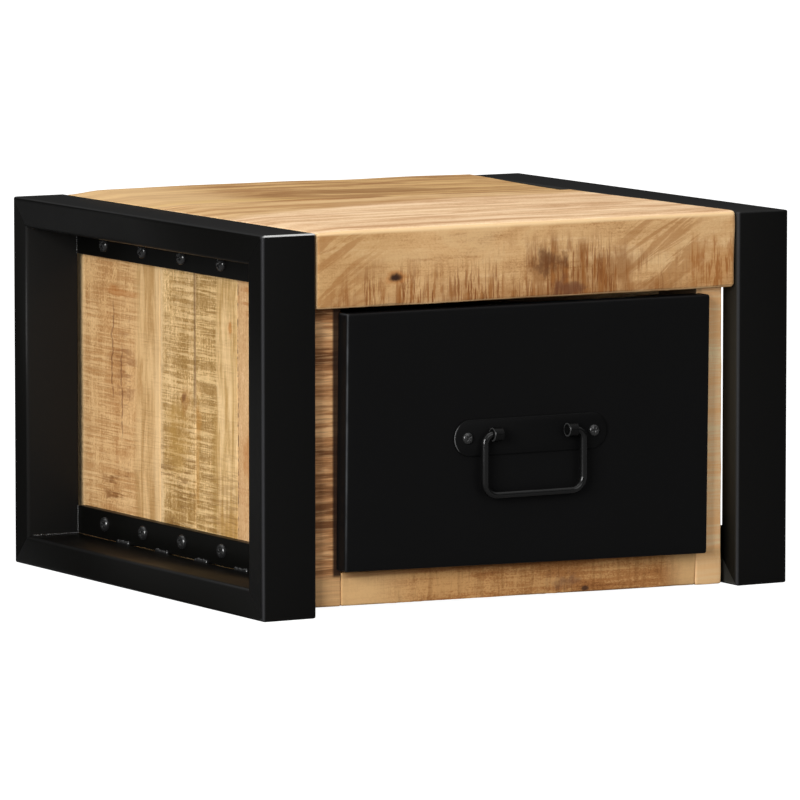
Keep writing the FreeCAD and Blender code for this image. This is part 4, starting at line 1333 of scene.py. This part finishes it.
class SIDETABLE_OT_welds(Operator):
    """Makes the weld beads along the flanges and inside the frames' corners"""

    bl_idname = "sidetable.welds"
    bl_label = "Welds"

    def execute(self, context):
        steel = context.scene.sidetable_steel
        # The beads' second colour is a painted glint.
        material = steel_material("weld_steel", steel.bead, steel.bright, 0.16, 0.60)
        group = weld_group()
        for side, sign in SIDES.items():
            self.flange_beads(side, sign, group, steel, material)
            self.corner_beads(side, sign, group, steel, material)
        return {"FINISHED"}

    def seams(self, side, sign):
        """The X of the flanges' outer face, and each seam's Z with the way to the flange."""
        low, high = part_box(f"{side}_top_flange")
        bottom_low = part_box(f"{side}_bottom_flange")[0]
        return low.x if sign < 0 else high.x, ((high.z, -1), (bottom_low.z, 1))

    def flange_beads(self, side, sign, group, steel, material):
        """Four short beads along each flange."""
        bead_long, pitch, sink = 14 * MM, 55 * MM, 0.3 * MM
        outer_x, levels = self.seams(side, sign)
        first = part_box(f"{side}_weld_beads")[0].y
        x = outer_x + sign * sink
        made = []
        for seam_z, inward in levels:
            z = seam_z + inward * sink
            for index in range(4):
                start = first + pitch * index
                made.append(self.bead(group, steel, material, (x, start, z),
                                      (x, start + bead_long, z)))
        whole = joined(f"{side}_flange_welds", made)
        fit_out(whole, material, "root", [f"{side}_weld_beads"])

    def corner_beads(self, side, sign, group, steel, material):
        """Thinner beads in the frame's inside corners and at the flanges' ends."""
        flange_low, flange_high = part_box(f"{side}_top_flange")
        outer_x, levels = self.seams(side, sign)
        end_x = outer_x + sign * 0.3 * MM
        made = []
        for y in (flange_low.y, flange_high.y):
            for seam_z, inward in levels:
                z = seam_z + inward * 0.2 * MM
                made.append(self.bead(
                    group, steel, material, (outer_x + sign * 2 * MM, y, z),
                    (outer_x + sign * 34 * MM, y, z), thin=0.55))
                made.append(self.bead(
                    group, steel, material, (end_x, y, z),
                    (end_x, y, z + inward * 18 * MM), thin=0.6))
        fit_out(joined(f"{side}_corner_welds", made), material, "root")

    def bead(self, group, steel, material, start, end, thin=1.0):
        """One bead, from its place's own seed."""
        run = (Vector(end) - Vector(start)).length
        count = max(3, round(run / (steel.ripple * (0.6 + 0.4 * thin))))
        seed = round(abs(start[0] * 71 + start[1] * 1013 + start[2] * 397) * 100) % 997
        return run_tree("bead", group, {
            "Material": material, "Start": start, "End": end, "Count": count,
            "Radius": steel.weld * thin, "Seed": seed})


class SIDETABLE_OT_screws(Operator):
    """Makes the rows of round-headed screws on the flanges"""

    bl_idname = "sidetable.screws"
    bl_label = "Flange screws"

    def execute(self, context):
        steel = context.scene.sidetable_steel
        # The screws' second colour is a painted glint.
        material = steel_material("screw_steel", steel.screw, steel.bright, 0.20, 0.60)
        head = screw_head("flange_screw_head", steel.screw_radius, steel.screw_height)
        group = screw_row_group()
        pitch, count = 55 * MM, 5
        for side, sign in SIDES.items():
            for level in ("top", "bottom"):
                node = f"{side}_{level}_flange_screws"
                low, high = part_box(node)
                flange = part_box(f"{side}_{level}_flange")
                face_x = flange[0].x if sign < 0 else flange[1].x
                start = (face_x, low.y + steel.screw_radius, (low.z + high.z) / 2)
                row = run_tree(f"{node}_row", group, {
                    "Head": head, "Material": material, "Start": start,
                    "Step": (0, pitch, 0), "Count": count,
                    "Facing": (0, sign * math.pi / 2, 0), "Seed": 5 + sign})
                fit_out(row, material, "root", [node])
        bpy.data.objects.remove(head)
        return {"FINISHED"}


# Drawer and handle


class SIDETABLE_OT_drawer(Operator):
    """Makes the drawer: its folded steel cover and the wooden box behind it"""

    bl_idname = "sidetable.drawer"
    bl_label = "Drawer"

    def execute(self, context):
        steel = context.scene.sidetable_steel
        wood = context.scene.sidetable_wood
        low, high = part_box("drawer_front_cover")
        dent_depth = 0.22 * MM

        def dented(point, out):
            """The cover's face is slightly uneven."""
            if out.y > -0.9:
                return 0.0
            return dent_depth * noise.noise(Vector((point.x * 11, 3.0, point.z * 11)))

        points, faces, turned = rounded_block(
            low, high, steel.panel_round, (7 * MM, 4 * MM, 7 * MM), dented,
            open_side=(1, True))
        rim = high.y
        points = [Vector((p.x, rim if p.y > rim - steel.panel_round else p.y, p.z))
                  for p in points]
        cover = mesh_object("drawer_cover_steel", points, faces, turned)
        sheet = cover.modifiers.new("sheet", "SOLIDIFY")
        sheet.thickness = steel.panel_sheet
        sheet.offset = -1
        flatten(cover)
        left_edge = low.x

        def paint(g, colour_in):
            """A painted highlight down the cover's left edge, strongest at its top; its other edges
            hardly get any.
            """
            x, _, z = g.place()
            patchy = g.ramp(g.cloud((0, 0, 40)), 0.35, 0.6)
            edge = g.product(g.attribute("turned"), g.ramp(x, left_edge + 3 * MM, left_edge),
                             g.maths("ADD", 0.35, g.maths("MULTIPLY", patchy, 0.65)),
                             g.ramp(z, -0.02, 0.19))
            return g.stain(edge, 0.9, colour_in, (0.10, 0.105, 0.11, 1))

        material = steel_material("cover_steel", steel.cover, (0.010, 0.010, 0.011, 1), 0.38,
                                  steel.gloss, peel=0.012 * MM, paint=paint)
        fit_out(cover, material, "drawer", ["drawer_front_cover"])
        boards = {
            "drawer_front_core": "x", "drawer_box_front": "x", "drawer_back": "x",
            "drawer_left_side": "y", "drawer_right_side": "y", "drawer_bottom": "x",
        }
        for index, (node, along) in enumerate(boards.items()):
            low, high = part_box(node)
            radius = min(wood.thin_arris, (high.z - low.z) * 0.3)
            board(f"{node}_wood", low, high, radius, "xyz".index(along), wood,
                  plain_material(wood, along), "drawer", [node],
                  seed=70.0 + index, sawn=0, coarse=9 * MM)
        return {"FINISHED"}


def bail_group():
    """A round bar bent along a path, with its own radius at each bend."""
    group, g, given, result = geometry_group("Bent bar", {
        "Path": ("NodeSocketObject", None),
        "Material": ("NodeSocketMaterial", None),
        "Bar radius": (FLOAT, 2.5 * MM),
        "Elbow": (FLOAT, 6 * MM),
        "Corner": (FLOAT, 9 * MM),
    })
    path = g.add("GeometryNodeObjectInfo", {"Object": given["Path"]}, out="Geometry")
    index = g.add("GeometryNodeInputIndex")
    low_corner = g.add("ShaderNodeMath", {0: index, 1: 2.5, 2: 0.6}, operation="COMPARE")
    bend = g.add("ShaderNodeMix", {0: low_corner, 2: given["Elbow"], 3: given["Corner"]})
    filleted = g.add("GeometryNodeFilletCurve", {
        "Curve": path, "Radius": bend, "Limit Radius": True, "Count": 9}, mode="POLY")
    circle = g.add("GeometryNodeCurvePrimitiveCircle", {
        "Resolution": 20, "Radius": given["Bar radius"]}, mode="RADIUS")
    bar = g.add("GeometryNodeCurveToMesh", {
        "Curve": filleted, "Profile Curve": circle, "Fill Caps": True})
    smooth_out = g.add("GeometryNodeSetShadeSmooth", {0: bar})
    real = g.add("GeometryNodeRealizeInstances", {0: smooth_out})
    done = g.add("GeometryNodeSetMaterial", {0: real, "Material": given["Material"]})
    g.put(result["Geometry"], done)
    return group


def open_path(name, places):
    """A poly curve through a few places."""
    curve = bpy.data.curves.new(name, "CURVE")
    curve.dimensions = "3D"
    spline = curve.splines.new("POLY")
    spline.points.add(len(places) - 1)
    for point, place in zip(spline.points, places):
        point.co = (*place, 1)
    thing = bpy.data.objects.new(name, curve)
    bpy.context.scene.collection.objects.link(thing)
    return thing


class SIDETABLE_OT_handle(Operator):
    """Makes the handle: plate, posts, screws and the bail that hangs in them"""

    bl_idname = "sidetable.handle"
    bl_label = "Handle"

    def execute(self, context):
        steel = context.scene.sidetable_steel
        plate_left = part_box("handle_plate")[0].x

        def paint(g, colour_in):
            """A painted highlight round the plate's left end only."""
            x, _, _ = g.place()
            edge = g.product(g.attribute("turned"),
                             g.ramp(x, plate_left + 5 * MM, plate_left + 1 * MM))
            return g.stain(edge, 0.9, colour_in, (0.13, 0.13, 0.13, 1))

        self.bail(steel_material(
            "handle_steel", steel.bail, (0.030, 0.030, 0.030, 1), 0.17, 0.35))
        self.plate(steel_material(
            "handle_plate_steel", steel.plate, (0.006, 0.006, 0.006, 1), 0.36, 0.05,
            paint=paint))
        self.posts(steel_material(
            "handle_post_steel", steel.post, (0.045, 0.045, 0.045, 1), 0.26, 0.12))
        self.screws()
        return {"FINISHED"}

    def bail(self, material):
        """The bail, bent from round bar, with its ends inside the posts."""
        low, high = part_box("handle_bail")
        bar = (high.y - low.y) / 2
        y = low.y + bar
        top, bottom = high.z - bar, low.z + bar
        half = high.x - bar
        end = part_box("handle_right_post")[0].x - 0.5 * MM
        path = open_path("bail_path", [
            (-end, y, top), (-half, y, top), (-half, y, bottom),
            (half, y, bottom), (half, y, top), (end, y, top)])
        thing = run_tree("handle_bail_bar", bail_group(), {
            "Path": path, "Material": material, "Bar radius": bar})
        bpy.data.objects.remove(path)
        fit_out(thing, material, "handle", ["handle_bail"])

    def plate(self, material):
        """A flat plate with half-round ends and a small bevel."""
        low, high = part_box("handle_plate")
        radius = (high.z - low.z) / 2
        middle = (high.z + low.z) / 2
        straight = high.x - radius
        outline = []
        for centre, start in ((straight, -90), (-straight, 90)):
            for step in range(17):
                turn = math.radians(start + 180 * step / 16)
                outline.append((centre, math.cos(turn), math.sin(turn)))
        bevel = 0.6 * MM
        # Each ring's inset from the outline, and its Y
        rings = [(0.0, high.y), (0.0, low.y + bevel), (bevel * 0.3, low.y + bevel * 0.3),
                 (bevel, low.y)]
        points, turned = [], []
        for inset, y in rings:
            for centre, cosine, sine in outline:
                reach = radius - inset
                points.append((centre + reach * cosine, y, middle + reach * sine))
                turned.append(1.0 if 0 < inset < bevel else 0.0)
        faces = rings_to_faces(len(rings), len(outline))
        thing = faced_outwards(mesh_object("handle_plate_steel", points, faces, turned))
        fit_out(thing, material, "drawer", ["handle_plate"])

    def posts(self, material):
        """Two short tubes standing off the plate, with the bail's ends in them."""
        plate_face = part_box("handle_plate")[0].y
        bail_low, bail_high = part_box("handle_bail")
        bar = (bail_high.y - bail_low.y) / 2
        middle_y, middle_z = bail_low.y + bar, bail_high.z - bar
        around = 40
        for side in SIDES:
            node = f"handle_{side}_post"
            low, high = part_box(node)
            outer, inner = bar + 0.6 * MM, bar + 0.15 * MM
            radius = middle_y - low.y
            rings = ((low.x + 0.5 * MM, radius), (high.x - 0.5 * MM, radius),
                     (high.x, radius - 0.5 * MM), (high.x, inner), (low.x, inner),
                     (low.x, radius - 0.5 * MM))
            points, turned = [], []
            for x, reach in rings:
                for i in range(around):
                    angle = 2 * math.pi * i / around
                    y = min(middle_y + reach * math.cos(angle), plate_face + 0.1 * MM)
                    points.append((x, y, middle_z + reach * math.sin(angle)))
                    turned.append(1.0 if outer < reach < radius else 0.0)
            faces = []
            for ring in range(len(rings)):
                after = (ring + 1) % len(rings)
                for i in range(around):
                    j = (i + 1) % around
                    faces.append([ring * around + i, ring * around + j,
                                  after * around + j, after * around + i])
            thing = faced_outwards(mesh_object(f"{node}_steel", points, faces, turned))
            thing.data.set_sharp_from_angle(angle=math.radians(40))
            fit_out(thing, material, "drawer", [node])

    def screws(self):
        """The plate's two screws, in the same steel as the flanges' screws."""
        material = bpy.data.materials["screw_steel"]
        low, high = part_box("handle_screws")
        plate_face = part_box("handle_plate")[0].y
        radius = (high.z - low.z) / 2
        head = screw_head("plate_screw_head", radius, 2.0 * MM)
        first = low.x + radius
        row = run_tree("handle_screw_heads", screw_row_group(), {
            "Head": head, "Material": material,
            "Start": (first, plate_face, (low.z + high.z) / 2),
            "Step": (-2 * first, 0, 0), "Count": 2,
            "Facing": (math.pi / 2, 0, 0), "Seed": 2})
        bpy.data.objects.remove(head)
        fit_out(row, material, "drawer", ["handle_screws"])


class SIDETABLE_OT_hidden_screws(Operator):
    """Gives the CAD's countersunk screws of the back, the strips and the drawer's front a zinc
    material
    """

    bl_idname = "sidetable.hidden_screws"
    bl_label = "Wood screws"

    def execute(self, context):
        material, g, shader = new_material("zinc_screws")
        mottle = g.noise(g.object_coordinates(), scale=600, detail=3)
        tint = g.mix(g.ramp(mottle, 0.35, 0.7), (0.45, 0.42, 0.36, 1), (0.66, 0.62, 0.52, 1))
        finish_shader(g, shader, tint, g.maths("ADD", 0.28, g.maths("MULTIPLY", mottle, 0.2)),
                      mottle, 0.01 * MM)
        shader.inputs["Metallic"].default_value = 1.0
        for node in ("back_panel_screws", "cleat_screws", "drawer_front_screws"):
            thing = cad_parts[node]
            thing.data.materials.clear()
            thing.data.materials.append(material)
        return {"FINISHED"}


class SIDETABLE_OT_settle(Operator):
    """Lets the case and the drawer hang slightly askew in their frames"""

    bl_idname = "sidetable.settle"
    bl_label = "Settle the case"

    def execute(self, context):
        stage = context.scene.sidetable_stage
        drawer_low, drawer_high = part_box("drawer_front_cover")
        panel_low, panel_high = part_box("right_side_panel")
        apron_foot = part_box("top_front_apron")[0].z
        lean = math.tan(stage.drawer_lean)
        middle = (drawer_low.z + drawer_high.z) / 2
        head_turn, head_lift = 0.09, 0.19
        case_words = ("_side_", "bottom_board", "back_lower", "back_upper", "cleat", "kicker")

        def with_drawer(point):
            across = point.x / drawer_high.x
            depth = (drawer_high.z - point.z) / (drawer_high.z - drawer_low.z)
            head = stage.drawer_skew * (head_turn * across - head_lift)
            foot = stage.drawer_skew * across
            drop = head + (foot - head) * depth
            return Vector((point.x + lean * (point.z - middle), point.y, point.z - drop))

        def with_case(point):
            across = point.x / panel_high.x
            depth = max(0.0, apron_foot - point.z) / (apron_foot - panel_low.z)
            drop = stage.case_skew * across * depth
            spread = stage.case_spread if point.x > panel_low.x - 1 * MM else 0
            return Vector((point.x + spread, point.y, point.z - drop))

        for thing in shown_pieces():
            if thing.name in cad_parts:
                continue
            if "drawer" in thing.name:
                move = with_drawer
            elif any(word in thing.name for word in case_words):
                move = with_case
            else:
                continue
            for vertex in thing.data.vertices:
                vertex.co = move(vertex.co)
        return {"FINISHED"}


# Stage


class SIDETABLE_OT_stage(Operator):
    """Sets up the pale floor, the soft light and the camera"""

    bl_idname = "sidetable.stage"
    bl_label = "Stage"

    def execute(self, context):
        stage = context.scene.sidetable_stage
        context.scene.view_settings.view_transform = "Standard"
        self.floor(stage)
        self.room(context, stage)
        for name, place, size, power in (
            ("overhead", (-0.2, 0.3, 2.6), 2.0, stage.key),
            ("front_box", (0.6, -3.2, 1.5), 1.8, stage.front),
            ("left_box", (-3.2, -2.2, 1.1), 1.8, stage.side),
        ):
            self.softbox(name, Vector(place), size, power)
        self.camera(context, stage)
        return {"FINISHED"}

    def floor(self, stage):
        """A wide grey floor that the camera sees washed out to white."""
        half = 30.0
        points = [(-half, -half, 0), (half, -half, 0), (half, half, 0), (-half, half, 0)]
        floor = mesh_object("floor", points, [[0, 1, 2, 3]])
        material, g, shader = new_material("pale_floor")
        shader.inputs["Base Color"].default_value = (0.26, 0.26, 0.26, 1)
        shader.inputs["Roughness"].default_value = 0.9
        shader.inputs["Specular IOR Level"].default_value = 0.1
        shader.inputs["Emission Color"].default_value = (1, 1, 1, 1)
        path = g.add("ShaderNodeLightPath", out="Is Camera Ray")
        g.put(shader.inputs["Emission Strength"], g.maths("MULTIPLY", path, stage.glow))
        floor.data.materials.append(material)
        floor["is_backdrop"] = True

    def room(self, context, stage):
        """A pale room, brighter overhead. The camera sees it plain white."""
        world = bpy.data.worlds.new("pale_room")
        world.use_nodes = True
        context.scene.world = world
        g = Graph(world.node_tree)
        world.node_tree.nodes.clear()
        direction = g.add("ShaderNodeTexCoord", out="Generated")
        upward = g.add("ShaderNodeSeparateXYZ", {0: direction}, out="Z")
        strength = g.add("ShaderNodeMapRange", {
            "Value": upward, "From Min": 0.25, "From Max": 0.9,
            "To Min": stage.horizon, "To Max": stage.zenith})
        seen = g.add("ShaderNodeLightPath", out="Is Camera Ray")
        strength = g.add("ShaderNodeMix", {0: seen, 2: strength, 3: 1.0})
        light = g.add("ShaderNodeBackground", {"Color": (1, 1, 1, 1), "Strength": strength})
        g.add("ShaderNodeOutputWorld", {"Surface": light}, out=None)

    def softbox(self, name, place, size, power):
        """A square lamp that faces the table."""
        target = Vector((0, 0, 0.1))
        light = bpy.data.lights.new(name, "AREA")
        light.shape = "SQUARE"
        light.size = size
        light.energy = power
        lamp = bpy.data.objects.new(name, light)
        lamp.location = place
        lamp.rotation_euler = (target - place).to_track_quat("-Z", "Y").to_euler()
        bpy.context.scene.collection.objects.link(lamp)

    def camera(self, context, stage):
        data = bpy.data.cameras.new("camera")
        data.sensor_width = 36
        data.lens = stage.lens
        data.clip_end = 100
        camera = bpy.data.objects.new("camera", data)
        camera.location = stage.camera_place
        camera.rotation_euler = (math.pi / 2 - stage.camera_pitch, 0, stage.camera_heading)
        context.scene.collection.objects.link(camera)
        context.scene.camera = camera


OPERATORS = (
    SIDETABLE_OT_top, SIDETABLE_OT_case, SIDETABLE_OT_frames, SIDETABLE_OT_welds,
    SIDETABLE_OT_screws, SIDETABLE_OT_drawer, SIDETABLE_OT_handle, SIDETABLE_OT_hidden_screws,
    SIDETABLE_OT_settle, SIDETABLE_OT_stage,
)


class SIDETABLE_PT_panel(Panel):
    """Lists the table's parts in the sidebar"""

    bl_idname = "SIDETABLE_PT_panel"
    bl_label = "Side table"
    bl_space_type = "VIEW_3D"
    bl_region_type = "UI"
    bl_category = "Side table"

    def draw(self, context):
        for operator in OPERATORS:
            self.layout.operator(operator.bl_idname)


CLASSES = (WoodProperties, SteelProperties, StageProperties, *OPERATORS, SIDETABLE_PT_panel)
SETTINGS = {
    "sidetable_wood": WoodProperties,
    "sidetable_steel": SteelProperties,
    "sidetable_stage": StageProperties,
}


def register():
    for item in CLASSES:
        bpy.utils.register_class(item)
    for name, group in SETTINGS.items():
        setattr(bpy.types.Scene, name, PointerProperty(type=group))


def unregister():
    for name in SETTINGS:
        delattr(bpy.types.Scene, name)
    for item in reversed(CLASSES):
        bpy.utils.unregister_class(item)


def main():
    register()
    for operator in OPERATORS:
        family, name = operator.bl_idname.split(".")
        getattr(getattr(bpy.ops, family), name)()


if __name__ == "__main__":
    main()
